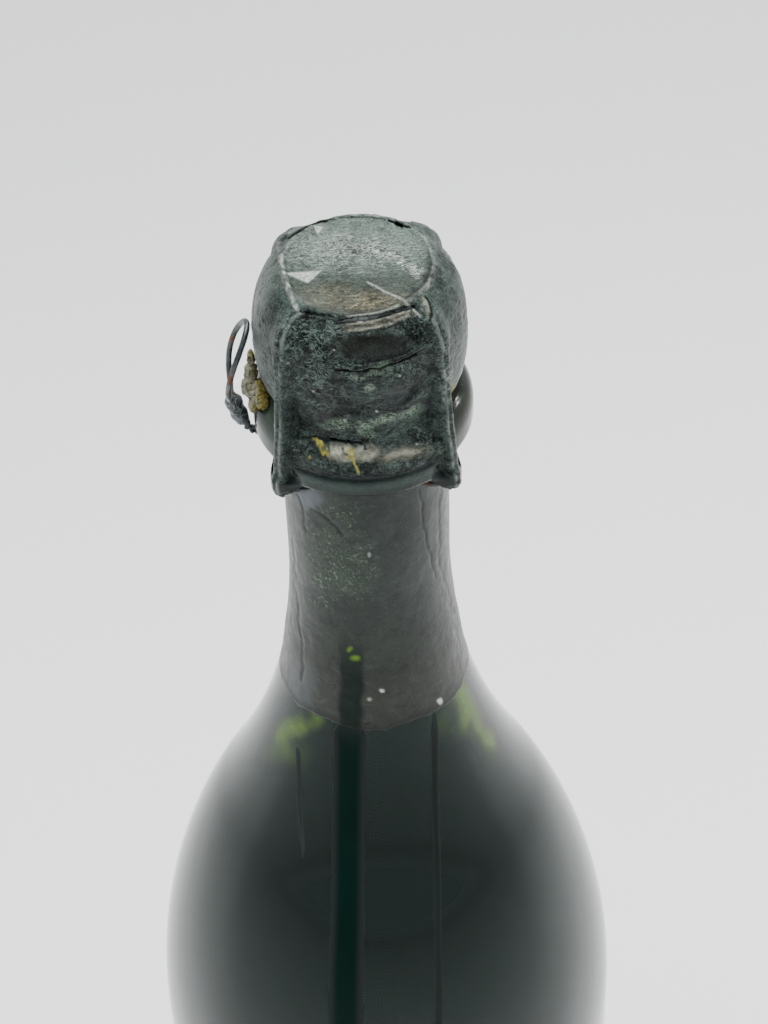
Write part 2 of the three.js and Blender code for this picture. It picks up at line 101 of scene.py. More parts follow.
# Cork, plaque and cage
CORK_DEPTH = 27
CORK_DISC_THICKNESS = 5.5
CORK_TOP = 321.2
CORK_WIDEST = 311.5
CORK_TOP_RADIUS = 12.9
CORK_BULGE = 3.5
CORK_UNDERCUT = 2.9
CORK_HEAD_RADIUS = CORK_TOP_RADIUS + CORK_BULGE
CORK_SHANK_RADIUS = 8.7
CORK_END_CHAMFER = 0.8
CORK_EDGE = 0.15
CORK_SEGMENTS = 160
DISC_SEGMENTS = 120
SEAT_GAP = 0.1
PLAQUE_RADIUS = 12.7
PLAQUE_THICKNESS = 0.35
PLAQUE_DOME_HEIGHT = 0.7
PLAQUE_RIM_WIDTH = 1.6
PLAQUE_SLOPE_WIDTH = 0.6
PLAQUE_SEAT = CORK_TOP + SEAT_GAP
FRAME_WIRE_RADIUS = 0.35
BELT_WIRE_RADIUS = 0.5
WIRE_GAP = 0.2
LIFT_GAP = 0.25
CROWN_RADIUS = 11.9
CROWN_HEIGHT = 322.1
LEG_COUNT = 4
LEG_TWISTS = 4.25
TWIST_ANGLE = 42
EYE_TAIL = 1.9
EYE_TAIL_TWISTS = 0.25
EYE_HALF_LENGTH = 1
HEAD_ANGLES = (75, 60, TWIST_ANGLE, 20, 0)
STRAND_OFFSET = FRAME_WIRE_RADIUS + WIRE_GAP / 2
TWIST_HALF = STRAND_OFFSET + FRAME_WIRE_RADIUS
EYE_OFFSET = BELT_WIRE_RADIUS + FRAME_WIRE_RADIUS + WIRE_GAP
LEG_RADIUS = LIP_RADIUS + LIFT_GAP + TWIST_HALF
EYE_RADIUS = LIP_RADIUS + LIFT_GAP + EYE_OFFSET + FRAME_WIRE_RADIUS
BELT_HEIGHT = LIP_BOTTOM - WIRE_GAP - BELT_WIRE_RADIUS
GRIP_RADIUS = 14.45
BELT_TAIL_SPREAD = 5
BEND_GAP = 0.7
LOOP_STEM_LENGTH = 7
LOOP_STEM_TWISTS = 1.5
LOOP_LENGTH = 14.5
LOOP_HALF_WIDTH = 4.4
LOOP_BOW = 2.6
LOOP_STRAND_OFFSET = BELT_WIRE_RADIUS + WIRE_GAP / 2
HINGE_RADIUS = LIP_RADIUS + LIFT_GAP + LOOP_STRAND_OFFSET + BELT_WIRE_RADIUS
LOOP_TOP_RADIUS = 17.8
STEM_FOIL_ENDS = (1.3, 6.4)

# Foils
NECK_FOIL_TOP = 288.5
NECK_FOIL_BOTTOM = 232.5
NECK_FOIL_STANDOFF = 0.45
NECK_FOIL_EDGE_SHARE = 0.12
NECK_FOIL_THICKNESS = 0.25
HOOD_HEM = 291
HOOD_FOIL_THICKNESS = 0.16
HOOD_SIDE_RADIUS = 18.5
FOOT_DROP = 2.7
TEAR_TOP = 303.5
TEAR_HALF_WIDTH = 11.5
TEAR_CORNER = 5

# Curves and wires: steps between two control points, a direction that no wire starts in, and the height of
# a wire's domed end as a share of its radius
CURVE_STEPS = 40
TUBE_ASLANT = (0.3, 0.5, 0.8)
TUBE_DOME = 0.6


# Helpers for numbers

def lerp(a, b, share):
    return a + (b - a) * share


def smooth(value, low, high):
    share = np.clip((np.asarray(value, float) - low) / (high - low), 0, 1)
    return share * share * (3 - 2 * share)


def bell(value, middle, width):
    return np.exp(-((value - middle) / width) ** 2)


def polar(azimuth, radius, height):
    parts = np.broadcast_arrays(radius * np.sin(azimuth), -radius * np.cos(azimuth), height)
    return np.stack(parts, axis=-1)


def radius_of(points):
    return np.hypot(points[..., 0], points[..., 1])


def azimuth_of(points):
    return np.arctan2(points[..., 0], -points[..., 1])


def lattice_value(cells, seed):
    """A repeatable value from -1 to 1 for each cell of a lattice, from a hash of its whole numbers."""
    x, y, z = np.moveaxis(cells, -1, 0)
    mixed = (x * 73856093) ^ (y * 19349663) ^ (z * 83492791) ^ (seed * 9781 + 12345)
    mixed = ((mixed ^ (mixed >> 13)) & 0xFFFFFFFF) * 1274126177
    return ((mixed ^ (mixed >> 16)) & 0xFFFF) / 32767.5 - 1


def noise(points, size, seed):
    """Smooth noise from -1 to 1 at points in mm, with lumps of the given size."""
    places = np.asarray(points, float) / size
    cells = np.floor(places).astype(np.int64)
    share = places - cells
    share = share * share * (3 - 2 * share)
    total = np.zeros(places.shape[:-1])
    for corner in np.ndindex(2, 2, 2):
        weight = np.prod(np.where(corner, share, 1 - share), axis=-1)
        total += weight * lattice_value(cells + np.array(corner), seed)
    return total


def rough_noise(points, size, seed, octaves=3):
    total = np.zeros(np.asarray(points).shape[:-1])
    for octave in range(octaves):
        total += noise(points, size / 2 ** octave, seed + octave) / 2 ** octave
    return total


def to_photo(points):
    """Where points of the model lie in the photograph's frame, in its pixels."""
    offset = points - CAMERA_PLACE
    cos, sin = math.cos(CAMERA_PITCH), math.sin(CAMERA_PITCH)
    forward = offset[..., 1] * cos - offset[..., 2] * sin
    across = FOCAL_PIXELS * offset[..., 0] / forward
    down = -FOCAL_PIXELS * (offset[..., 1] * sin + offset[..., 2] * cos) / forward
    cos, sin = math.cos(CAMERA_ROLL), math.sin(CAMERA_ROLL)
    x = PHOTO_MIDDLE[0] + across * cos + down * sin
    y = PHOTO_MIDDLE[1] - across * sin + down * cos
    return x, y


def faces_camera(points, normals):
    """How much a surface is seen in the photograph: 1 on its near side, 0 on its far side."""
    towards = CAMERA_PLACE - points
    towards /= np.linalg.norm(towards, axis=-1, keepdims=True)
    return smooth(np.sum(towards * normals, axis=-1), 0.02, 0.2)


def route_distance(x, y, route):
    """Distance in pixels from places in the photograph's frame to a line through the given places."""
    best = np.full(np.shape(x), 1e9)
    for (x0, y0), (x1, y1) in zip(route, route[1:]):
        length = (x1 - x0) ** 2 + (y1 - y0) ** 2
        along = np.clip(((x - x0) * (x1 - x0) + (y - y0) * (y1 - y0)) / length, 0, 1)
        best = np.minimum(best, np.hypot(x - x0 - along * (x1 - x0), y - y0 - along * (y1 - y0)))
    return best


def stroke(x, y, route, half_width):
    return 1 - smooth(route_distance(x, y, route), half_width * 0.4, half_width * 1.4)


def glow(x, y, route, reach):
    """A soft line in the photograph's frame that fades away from its route."""
    return bell(route_distance(x, y, route), 0, reach)


def patch(x, y, middle, reach, edge=0.5):
    """A soft ellipse in the photograph's frame: its middle and half sizes in pixels."""
    distance = np.hypot((x - middle[0]) / reach[0], (y - middle[1]) / reach[1])
    return 1 - smooth(distance, 1 - edge, 1 + edge)


def corner_patch(x, y, corners, edge):
    """A soft-edged convex polygon in the photograph's frame, with its corners clockwise on the picture."""
    inside = np.full(np.shape(x), 1e9)
    for (x0, y0), (x1, y1) in zip(corners, corners[1:] + corners[:1]):
        length = math.hypot(x1 - x0, y1 - y0)
        inside = np.minimum(inside, ((x1 - x0) * (y - y0) - (y1 - y0) * (x - x0)) / length)
    return smooth(inside, -edge, edge)


def strongest(kind, x, y, marks):
    """The strongest of several marks of one kind. A mark is its strength and then what its kind takes."""
    return np.maximum.reduce([strength * kind(x, y, *mark) for strength, *mark in marks])


def most(*masks):
    return np.maximum.reduce(np.broadcast_arrays(*masks))


def curve_through(controls, steps):
    """A smooth line through control points (uniform Catmull-Rom), as steps points at equal spacing."""
    controls = np.asarray(controls, float)
    padded = np.vstack([controls[:1], controls, controls[-1:]])
    share = np.linspace(0, 1, CURVE_STEPS, endpoint=False)[:, None]
    dense = []
    for a, b, c, d in zip(padded, padded[1:], padded[2:], padded[3:]):
        start, end = (c - a) / 2, (d - b) / 2
        cubic = 2 * b - 2 * c + start + end
        square = -3 * b + 3 * c - 2 * start - end
        dense.append(((cubic * share + square) * share + start) * share + b)
    dense = np.vstack(dense + [controls[-1:]])
    lengths = np.concatenate([[0], np.cumsum(np.linalg.norm(np.diff(dense, axis=0), axis=1))])
    wanted = np.linspace(0, lengths[-1], steps)
    return np.stack([np.interp(wanted, lengths, column) for column in dense.T], axis=-1), lengths[-1]


def ellipse_arc(middle, radius_x, radius_y, start, end, steps):
    angles = np.radians(np.linspace(start, end, steps + 1))
    return np.stack([middle[0] + radius_x * np.cos(angles), middle[1] + radius_y * np.sin(angles)], axis=-1)


def bezier(a, b, c, steps):
    share = np.linspace(0, 1, steps + 1)[:, None]
    a, b, c = (np.array(point, float) for point in (a, b, c))
    return a * (1 - share) ** 2 + 2 * b * share * (1 - share) + c * share ** 2


# Helpers for meshes

def finish_mesh(name, points, faces, masks=None):
    mesh = bpy.data.meshes.new(name)
    mesh.from_pydata((np.asarray(points) * MM).tolist(), [], faces)
    mesh.polygons.foreach_set("use_smooth", [True] * len(mesh.polygons))
    for label, values in (masks or {}).items():
        layer = mesh.attributes.new(label, "FLOAT", "POINT")
        layer.data.foreach_set("value", np.ascontiguousarray(values, dtype=np.float32).ravel())
    mesh.update()
    piece = bpy.data.objects.new(name, mesh)
    scene.collection.objects.link(piece)
    return piece


def grid_faces(rows, columns, closed_rows=False, closed_columns=True):
    row = np.arange(rows if closed_rows else rows - 1)[:, None]
    column = np.arange(columns if closed_columns else columns - 1)[None, :]
    below, right = (row + 1) % rows, (column + 1) % columns
    corners = [(row, column), (below, column), (below, right), (row, right)]
    numbers = [corner_row * columns + corner_column for corner_row, corner_column in corners]
    return np.stack(np.broadcast_arrays(*numbers), axis=-1).reshape(-1, 4).tolist()


def grid_normals(points):
    across = np.roll(points, -1, axis=1) - np.roll(points, 1, axis=1)
    down = np.gradient(points, axis=0)
    normals = np.cross(down, across)
    return normals / np.maximum(np.linalg.norm(normals, axis=-1, keepdims=True), 1e-9)


def close_row(faces, row, columns, tip, flipped):
    """Closes a row of points with triangles to a tip."""
    for column in range(columns):
        a, b = row * columns + column, row * columns + (column + 1) % columns
        faces.append((tip, b, a) if flipped else (tip, a, b))


def cap_poles(name, points, faces, rows, columns, tips, masks=None):
    """Closes the first and the last row. Tips are the heights of the two ends on the axis, or None."""
    points = list(points)
    for tip, row in zip(tips, (0, rows - 1)):
        if tip is not None:
            close_row(faces, row, columns, len(points), row != 0)
            points.append((0, 0, tip))
    return finish_mesh(name, points, faces, masks)


def lathe(name, outline, segments=LATHE_SEGMENTS, wobble=None, masks_of=None):
    """Turns an outline, listed downwards outside, round Z. An end on the axis becomes a single point."""
    outline = np.asarray(outline, float)
    tips = [height if radius < 1e-6 else None for radius, height in outline[[0, -1]]]
    body = np.array([place for place in outline if place[0] >= 1e-6])
    azimuths = np.linspace(0, FULL_TURN, segments, endpoint=False)
    grid = polar(azimuths[None, :], body[:, :1], body[:, 1:])
    if wobble is not None:
        grid = wobble(grid)
    faces = grid_faces(len(body), segments, closed_rows=tips == [None, None])
    points = grid.reshape(-1, 3)
    masks = {}
    if masks_of is not None:
        masks = masks_of(np.vstack([points] + [(0, 0, tip) for tip in tips if tip is not None]))
    return cap_poles(name, points, faces, len(body), segments, tips, masks)


def tube(name, route, radius, sides=10):
    """A round wire along a dense route, with domed ends. Its frame is carried along without twisting."""
    route = np.asarray(route, float)
    tangents = np.gradient(route, axis=0)
    tangents /= np.linalg.norm(tangents, axis=1, keepdims=True)
    side = np.cross(tangents[0], TUBE_ASLANT)
    rings = []
    angles = np.linspace(0, FULL_TURN, sides, endpoint=False)
    radii = np.broadcast_to(radius, len(route))
    for place, tangent, thick in zip(route, tangents, radii):
        side = side - tangent * np.dot(side, tangent)
        side /= np.linalg.norm(side)
        other = np.cross(tangent, side)
        rings.append(place + thick * (np.cos(angles)[:, None] * side + np.sin(angles)[:, None] * other))
    last = len(rings) - 1
    faces = [tuple(reversed(face)) for face in grid_faces(len(rings), sides)]
    points = list(np.concatenate(rings))
    for row, outwards in ((0, -tangents[0]), (last, tangents[-1])):
        close_row(faces, row, sides, len(points), row == 0)
        points.append(route[row] + outwards * radii[row] * TUBE_DOME)
    return finish_mesh(name, points, faces)


def dress(piece, material, body, slot, *nodes):
    """Gives a piece its material and its body, and lets it stand for CAD nodes, which it hides. The slot is
    not used.
    """
    piece.data.materials.append(material)
    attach(piece, body)
    if nodes:
        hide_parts(*nodes)
    return piece


# Helpers for materials

class Finish:
    """A material whose nodes are added one by one; most helpers return an output socket."""

    def __init__(self, name):
        self.material = bpy.data.materials.new(name)
        self.material.use_nodes = True
        self.tree = self.material.node_tree
        self.shader = self.tree.nodes["Principled BSDF"]
        self.output = self.tree.nodes["Material Output"]
        self.place = self.tree.nodes.new("ShaderNodeTexCoord").outputs["Object"]
        self.colour = None

    def node(self, kind, inputs=None, **settings):
        made = self.tree.nodes.new(kind)
        for key, value in settings.items():
            setattr(made, key, value)
        for key, value in (inputs or {}).items():
            self.put(made.inputs[key], value)
        return made

    def put(self, socket, value):
        if isinstance(value, bpy.types.NodeSocket):
            self.tree.links.new(value, socket)
        else:
            socket.default_value = value

    def axes(self):
        return self.node("ShaderNodeSeparateXYZ", {"Vector": self.place}).outputs

    def noise(self, scale, detail=3.0, roughness=0.55, distortion=0.0, place=None):
        inputs = {"Vector": place or self.place, "Scale": scale, "Detail": detail,
                  "Roughness": roughness, "Distortion": distortion}
        return self.node("ShaderNodeTexNoise", inputs).outputs["Fac"]

    def stretched(self, x, y, z):
        return self.node("ShaderNodeMapping", {"Vector": self.place, "Scale": (x, y, z)}).outputs["Vector"]

    def cells(self, scale, feature="F1", place=None):
        inputs = {"Vector": place or self.place, "Scale": scale}
        return self.node("ShaderNodeTexVoronoi", inputs, feature=feature).outputs["Distance"]

    def math(self, operation, a, b=0.0):
        return self.node("ShaderNodeMath", {0: a, 1: b}, operation=operation).outputs[0]

    def chain(self, operation, first, *others):
        for other in others:
            first = self.math(operation, first, other)
        return first

    def times(self, *values):
        return self.chain("MULTIPLY", *values)

    def plus(self, *values):
        return self.chain("ADD", *values)

    def most(self, *values):
        return self.chain("MAXIMUM", *values)

    def band(self, value, low, high, to_low=0.0, to_high=1.0):
        inputs = {"Value": value, "From Min": low, "From Max": high, "To Min": to_low, "To Max": to_high}
        return self.node("ShaderNodeMapRange", inputs, interpolation_type="SMOOTHSTEP").outputs["Result"]

    def fibres(self, scale, width, distortion=0.8, place=None):
        """Thin wandering lines: the places where a noise passes its middle value."""
        wander = self.noise(scale, 1.5, 0.5, distortion, place)
        middle = self.math("ABSOLUTE", self.math("SUBTRACT", wander, 0.5))
        return self.band(middle, 0.0, width, 1.0, 0.0)

    def unrolled(self, radius):
        """Places laid flat for a surface round Z: along its rim, outwards and upwards."""
        split = self.axes()
        turn = self.math("ARCTAN2", split["X"], self.times(split["Y"], -1.0))
        squares = [self.math("POWER", self.math("ABSOLUTE", split[axis]), 2.0) for axis in "XY"]
        out = self.math("SQRT", self.plus(*squares))
        flat = {"X": self.times(turn, radius), "Y": out, "Z": split["Z"]}
        return self.node("ShaderNodeCombineXYZ", flat).outputs["Vector"]

    def hairs(self, place, angle, scale, width):
        """Thin lines that run mostly one way over a surface laid flat."""
        inputs = {"Vector": place, "Rotation": (0, angle, 0), "Scale": (2.8, 1, 1)}
        drawn = self.node("ShaderNodeMapping", inputs, vector_type="TEXTURE").outputs["Vector"]
        lines = self.fibres(scale, width, 0.7, drawn)
        return self.times(lines, self.band(self.noise(scale / 3, 2, 0.5, 0.0, place), 0.46, 0.6))

    def mask(self, label):
        return self.node("ShaderNodeAttribute", attribute_name=label).outputs["Fac"]

    def mix(self, share, a, b):
        made = self.node("ShaderNodeMix", data_type="RGBA", blend_type="MIX")
        self.put(made.inputs[0], share)
        for place, tone in ((6, a), (7, b)):
            self.put(made.inputs[place], tone if isinstance(tone, bpy.types.NodeSocket) else (*tone, 1))
        return made.outputs[2]

    def ground(self, value, a, b, low=0.3, high=0.7):
        """Starts the colour with two tones, which a value mixes."""
        self.colour = self.mix(self.band(value, low, high), a, b)

    def paint(self, share, tone):
        """Lays a colour over what has been painted so far."""
        self.colour = self.mix(share, self.colour, tone)

    def speckle(self, value, low, high, strength, tone):
        """Lays a colour where a value passes from low to high."""
        self.paint(self.band(value, low, high, 0.0, strength), tone)

    def blend(self, share, a, b):
        made = self.node("ShaderNodeMix", data_type="FLOAT")
        for place, value in ((0, share), (2, a), (3, b)):
            self.put(made.inputs[place], value)
        return made.outputs[0]

    def bump(self, height, depth, strength):
        made = self.node("ShaderNodeBump", {"Height": height, "Distance": depth, "Strength": strength})
        self.put(self.shader.inputs["Normal"], made.outputs["Normal"])

    def done(self, **values):
        """Sets the painted colour and the given values on the shader, and hands over the material."""
        self.put(self.shader.inputs["Base Color"], self.colour)
        for key, value in values.items():
            self.put(self.shader.inputs[key.replace("_", " ")], value)
        return self.material


# Camera

camera_data = bpy.data.cameras.new("camera")
camera_data.sensor_width = SENSOR
camera_data.lens = FOCAL_PIXELS / PHOTO_LONG_SIDE * SENSOR
camera_data.shift_x = (PHOTO_HALF_WIDTH - PHOTO_MIDDLE[0]) / PHOTO_LONG_SIDE
camera_data.clip_start = 0.01
camera = bpy.data.objects.new("camera", camera_data)
scene.collection.objects.link(camera)
pitch = Matrix.Rotation(math.pi / 2 - CAMERA_PITCH, 4, "X")
roll = Matrix.Rotation(-CAMERA_ROLL, 4, "Z")
camera.matrix_world = Matrix.Translation(CAMERA_PLACE * MM) @ pitch @ roll
scene.camera = camera


# Studio: a pale floor with painted shade and a painted glow, a soft surround and large soft lamps

def make_world():
    """A surround that is bright at the horizon and dim overhead."""
    world = bpy.data.worlds.new("studio")
    world.use_nodes = True
    nodes, links = world.node_tree.nodes, world.node_tree.links
    background = nodes["Background"]
    direction = nodes.new("ShaderNodeTexCoord").outputs["Generated"]
    split = nodes.new("ShaderNodeSeparateXYZ")
    links.new(direction, split.inputs["Vector"])
    rise = nodes.new("ShaderNodeMapRange")
    rise.interpolation_type = "SMOOTHSTEP"
    for key, value in (("From Min", 0.0), ("From Max", 0.55), ("To Min", 1.25), ("To Max", 0.22)):
        rise.inputs[key].default_value = value
    links.new(split.outputs["Z"], rise.inputs["Value"])
    links.new(rise.outputs["Result"], background.inputs["Strength"])
    background.inputs["Color"].default_value = (0.92, 0.97, 1.0, 1)
    scene.world = world


def soft_lamp(name, place, target, size, power):
    data = bpy.data.lights.new(name, "AREA")
    data.shape = "RECTANGLE"
    data.size, data.size_y = size
    data.energy = power
    lamp = bpy.data.objects.new(name, data)
    scene.collection.objects.link(lamp)
    away = Vector(place) - Vector(target)
    lamp.matrix_world = Matrix.Translation(place) @ away.to_track_quat("Z", "Y").to_matrix().to_4x4()


def floor_finish():
    """A pale floor, darker at the back as painted shade, that glows as painted light;
    its far part takes on the brightness of the surround.
    """
    finish = Finish("pale_floor")
    depth = finish.axes()["Y"]
    away = finish.node("ShaderNodeVectorMath", {0: finish.place}, operation="LENGTH").outputs["Value"]
    finish.ground(depth, (0.97, 0.97, 0.97), (0.72, 0.72, 0.725), -0.1, 0.75)
    finish.speckle(finish.noise(60, 2), 0.3, 0.7, 0.03, (0.7, 0.7, 0.7))
    near = finish.times(finish.band(depth, 0.5, 0.05), finish.band(depth, -0.15, 0.05))
    # Painted light: the floor glows a little around the bottle and more far away
    shine = finish.plus(finish.band(away, 0.7, 2.2, 0.0, 0.2), finish.times(near, 0.3),
                        finish.band(away, 2.2, 5.0, 0.0, 0.62))
    return finish.done(Roughness=0.9, Specular_IOR_Level=0.1, Emission_Color=(1, 1, 1, 1),
                       Emission_Strength=shine)


def make_floor():
    spots = np.linspace(-FLOOR_REACH, FLOOR_REACH, FLOOR_STEPS)
    grid = np.stack(np.broadcast_arrays(spots[None, :], -spots[:, None], 0.0), axis=-1)
    faces = grid_faces(FLOOR_STEPS, FLOOR_STEPS, closed_columns=False)
    floor = finish_mesh("floor", grid.reshape(-1, 3), faces)
    floor.data.materials.append(floor_finish())


make_world()
make_floor()
for lamp_values in LAMPS:
    soft_lamp(*lamp_values)


# Glass bottle

# Painted light: where the glass is lit olive green, painted into its colour: strength, route and reach
LIT_SPOTS = (
    (1.0, [(286, 733), (299, 727), (316, 716)], 13),
    (0.6, [(280, 748), (296, 750)], 20),
    (1.0, [(464, 690), (474, 710), (488, 735)], 15),
    (0.7, [(463, 702), (464, 722), (447, 724)], 15),
    (0.5, [(488, 735), (498, 752)], 15),
)


def shoulder_slope(body_radius, top_radius, steps=40):
    rise = NECK_FOOT - SHOULDER_HEIGHT
    steepest = 2 * math.atan2(body_radius - top_radius, rise)
    bulge = rise * SHOULDER_BULGE_SHARE / math.sin(steepest)
    hollow = rise * (1 - SHOULDER_BULGE_SHARE) / math.sin(steepest)
    degrees = math.degrees(steepest)
    lower = ellipse_arc((body_radius - bulge, SHOULDER_HEIGHT), bulge, bulge, 0, degrees, steps)
    upper = ellipse_arc((top_radius + hollow, NECK_FOOT), hollow, hollow, 180 + degrees, 180, steps)
    return np.vstack([lower, upper[1:]])


def glass_radius(height):
    slope = shoulder_slope(BODY_RADIUS, NECK_RADIUS)
    return np.interp(height, slope[:, 1], slope[:, 0])


def glass_outline():
    inner = BODY_RADIUS - BODY_WALL
    groove = (RING_INNER + RING_OUTER) / 2
    groove_middle = (groove, PUNT_WALL + FLOOR_GROOVE_HEIGHT)
    punt_edge = RING_INNER - PUNT_SLOPE_RUN
    floor_top = PUNT_DEPTH + PUNT_WALL
    fillet_middle = (NECK_RADIUS + LIP_FILLET, LIP_BOTTOM - LIP_FILLET)
    mouth_middle = (BORE_RADIUS + MOUTH_CHAMFER, BOTTLE_HEIGHT - MOUTH_CHAMFER)
    up = [
        bezier((0, PUNT_DEPTH), (punt_edge, PUNT_DEPTH), (RING_INNER, 0), 24),
        ellipse_arc((RING_OUTER, HEEL_HEIGHT), HEEL_WIDTH, HEEL_HEIGHT, -90, 0, 12),
        [(BODY_RADIUS, height) for height in np.linspace(HEEL_HEIGHT + 10, SHOULDER_HEIGHT - 10, 8)],
        shoulder_slope(BODY_RADIUS, NECK_RADIUS),
        ellipse_arc(fillet_middle, LIP_FILLET, LIP_FILLET, 180, 90, 6),
        ellipse_arc(LIP_UNDER_MIDDLE, LIP_UNDER_WIDTH, LIP_UNDER_HEIGHT, -90, 0, 10)[1:],
        ellipse_arc(LIP_ROUND_MIDDLE, LIP_ROUND_WIDTH, LIP_ROUND_HEIGHT, 0, 90, 16),
        ellipse_arc(mouth_middle, MOUTH_CHAMFER, MOUTH_CHAMFER, 90, 180, 5),
        shoulder_slope(inner, BORE_RADIUS)[::-1],
        ellipse_arc(groove_middle, inner - groove, FLOOR_GROOVE_HEIGHT, 0, -90, 12),
        bezier((groove, PUNT_WALL), (punt_edge + PUNT_WALL, floor_top), (0, floor_top), 24)[1:],
    ]
    return np.vstack(up)[::-1]


def glass_finish():
    finish = Finish("green_glass")
    ripple = finish.noise(45, 2, 0.5, 0.2, finish.stretched(1, 1, 0.35))
    # Painted light: an olive colour and less transmission where light shines through the shoulder
    olive = finish.mask("olive")
    lit = finish.mix(finish.band(olive, 0.05, 0.7), (0.003, 0.008, 0.0008), (0.095, 0.165, 0.006))
    finish.ground(olive, (0.2, 0.5, 0.26), lit, 0.0, 0.1)
    finish.bump(ripple, 0.0002, 0.1)
    absorb = finish.node("ShaderNodeVolumeAbsorption", {"Color": (0.0, 0.3, 0.12, 1), "Density": 1300})
    finish.put(finish.output.inputs["Volume"], absorb.outputs["Volume"])
    return finish.done(Roughness=0.03, IOR=1.36, Specular_Tint=(0.75, 1.0, 0.94, 1),
                       Transmission_Weight=finish.band(olive, 0.0, 1.0, 1.0, 0.3))


def lit_spots(points):
    """Painted light where the photograph shows the glass lit olive green: below the foil on both sides."""
    front = smooth(points[..., 1], -2, -8) * smooth(radius_of(points), 12.5, 13.5)
    grain = rough_noise(points, 4, 23)
    spots = strongest(glow, *to_photo(points), LIT_SPOTS)
    return {"olive": np.clip(spots * (0.75 + 0.5 * grain), 0, 1) * front}


glass = lathe("bottle_glass", glass_outline(), GLASS_SEGMENTS, masks_of=lit_spots)
dress(glass, glass_finish(), "bottle", "green_glass", "glass_bottle")


# Dark streaks on the shoulder. The middle one is a painted dark reflection, laid on the glass as a thin
# dull sheet; the right and left ones are thinner dark streaks

STREAK_ROWS = 90
STREAK_COLUMNS = 25
STREAK_THICKNESS = 0.03
# Each streak: name, heights of its ends, pixel columns of its left and right edges at both ends,
# name of its finish, and the finish's two colours and edge colour
DARK_STREAKS = (
    # The middle streak: a painted dark reflection
    ("reflection_streak_middle", (236, 128), (333, 325), (366, 362), "dark_streak",
     (0.0003, 0.0088, 0.0062), (0.0006, 0.0125, 0.0092), (0.0172, 0.0222, 0.0208)),
    ("streak_right", (233, 150), (430.5, 437.5), (438, 445), "thin_streak",
     (0.012, 0.016, 0.0145), (0.0145, 0.019, 0.0175), (0.0215, 0.0275, 0.026)),
    ("streak_left", (224, 205), (295, 300), (300, 305), "side_streak",
     (0.017, 0.0215, 0.0195), (0.02, 0.0255, 0.0235), (0.029, 0.035, 0.0325)),
)


def azimuth_at(column, height):
    """The azimuth where the glass at a height shows on a pixel column of the photograph."""
    azimuths = np.radians(np.linspace(-70, 70, 281))
    x, _ = to_photo(polar(azimuths, glass_radius(height), height))
    return np.interp(column, x, azimuths)


def dark_streak(name, heights, left, right, finish_name, *colours):
    """A thin dull streak down the glass, with rounded ends and soft edges."""
    across = np.linspace(-1, 1, STREAK_COLUMNS)
    grid, edges = [], []
    for step in np.linspace(0, 1, STREAK_ROWS):
        height = lerp(*heights, step)
        waver = 0.6 * math.sin(step * 9 + left[0]) + 0.3 * math.sin(step * 23)
        start = azimuth_at(lerp(*left, step) + waver, height)
        end = azimuth_at(lerp(*right, step) + 0.7 * waver, height)
        taper = max(0.1, math.sqrt(max(0.0, 1 - max(0.0, (step - 0.75) / 0.25) ** 2)))
        taper = min(taper, 0.2 + step / 0.06)
        azimuths = (start + end) / 2 + (end - start) / 2 * taper * across
        grid.append(polar(azimuths, glass_radius(height) + 0.02 + 0.02 * (1 - across ** 2), height))
        fade = max(smooth(step, 0.6, 1.0), smooth(step, 0.08, 0.0))
        edges.append(np.maximum(smooth(np.abs(across), 0.4, 0.95), fade))
    outer, edge = np.array(grid), np.array(edges)
    inwards = polar(azimuth_of(outer), -STREAK_THICKNESS, 0.0)
    points = np.concatenate([outer, (outer + inwards)[:, ::-1]], axis=1)
    width = points.shape[1]
    faces = grid_faces(STREAK_ROWS, width)
    faces.append(tuple(range(width))[::-1])
    faces.append(tuple(range((STREAK_ROWS - 1) * width, STREAK_ROWS * width)))
    masks = {"edge": np.concatenate([edge, edge[:, ::-1]], axis=1)}
    streak_piece = finish_mesh(name, points.reshape(-1, 3), faces, masks)
    dress(streak_piece, streak_finish(finish_name, *colours), "bottle", "green_glass")


def streak_finish(name, dull, rich, edge):
    finish = Finish(name)
    cloud = finish.noise(90, 4, 0.6, 0.3, finish.stretched(1, 1, 0.2))
    finish.ground(cloud, dull, rich)
    finish.paint(finish.mask("edge"), edge)
    finish.bump(cloud, 0.0001, 0.3)
    return finish.done(Roughness=finish.band(cloud, 0.3, 0.7, 0.3, 0.45), Specular_IOR_Level=0.04)


for streak_values in DARK_STREAKS:
    dark_streak(*streak_values)


# Neck foil

NECK_COLUMNS = 400
NECK_ROWS = 170
# Lines have strength, route and half width; spots have strength, middle, reach and sometimes edge
NECK_FOLDS = (
    (1.0, [(420, 490), (423, 512), (427, 544), (436, 576), (445, 580)], 1.5),
    (1.0, [(441, 484), (440, 520), (439, 560), (444, 576), (449, 595), (457, 624), (462, 655)], 1.5),
    (1.0, [(294, 540), (295, 570), (299, 615), (302, 640), (303, 680)], 1.5),
    (1.0, [(288, 487), (297, 495), (303, 510), (306, 530)], 1.5),
    (1.0, [(312, 508), (322, 515), (334, 524), (343, 535)], 1.5),
)
NECK_CRUST = (
    (1.0, (349, 566), (24, 30)),
    (1.0, (324, 588), (16, 20)),
    (0.8, (338, 530), (22, 26)),
    (0.5, (322, 545), (18, 40)),
)
NECK_BLUE = ((1.0, (310, 499), (12, 10)), (0.4, (300, 690), (14, 30)))
NECK_LIME = ((1.0, (349.5, 649), (2.2, 2.2), 0.8), (1.0, (354.5, 658.5), (3.6, 2.2), 0.8))
NECK_WHITE = (
    (1.0, (381.6, 691), (2.4, 1.6)),
    (0.5, (369.7, 700), (1.6, 1.6)),
    (1.0, (440, 701.7), (2.6, 3)),
    (0.4, (368, 556), (1.6, 1.6)),
)
# Painted dark reflection: the pixel column of the dark stripe down the front of the foil
NECK_REFLECTION_COLUMN = 351


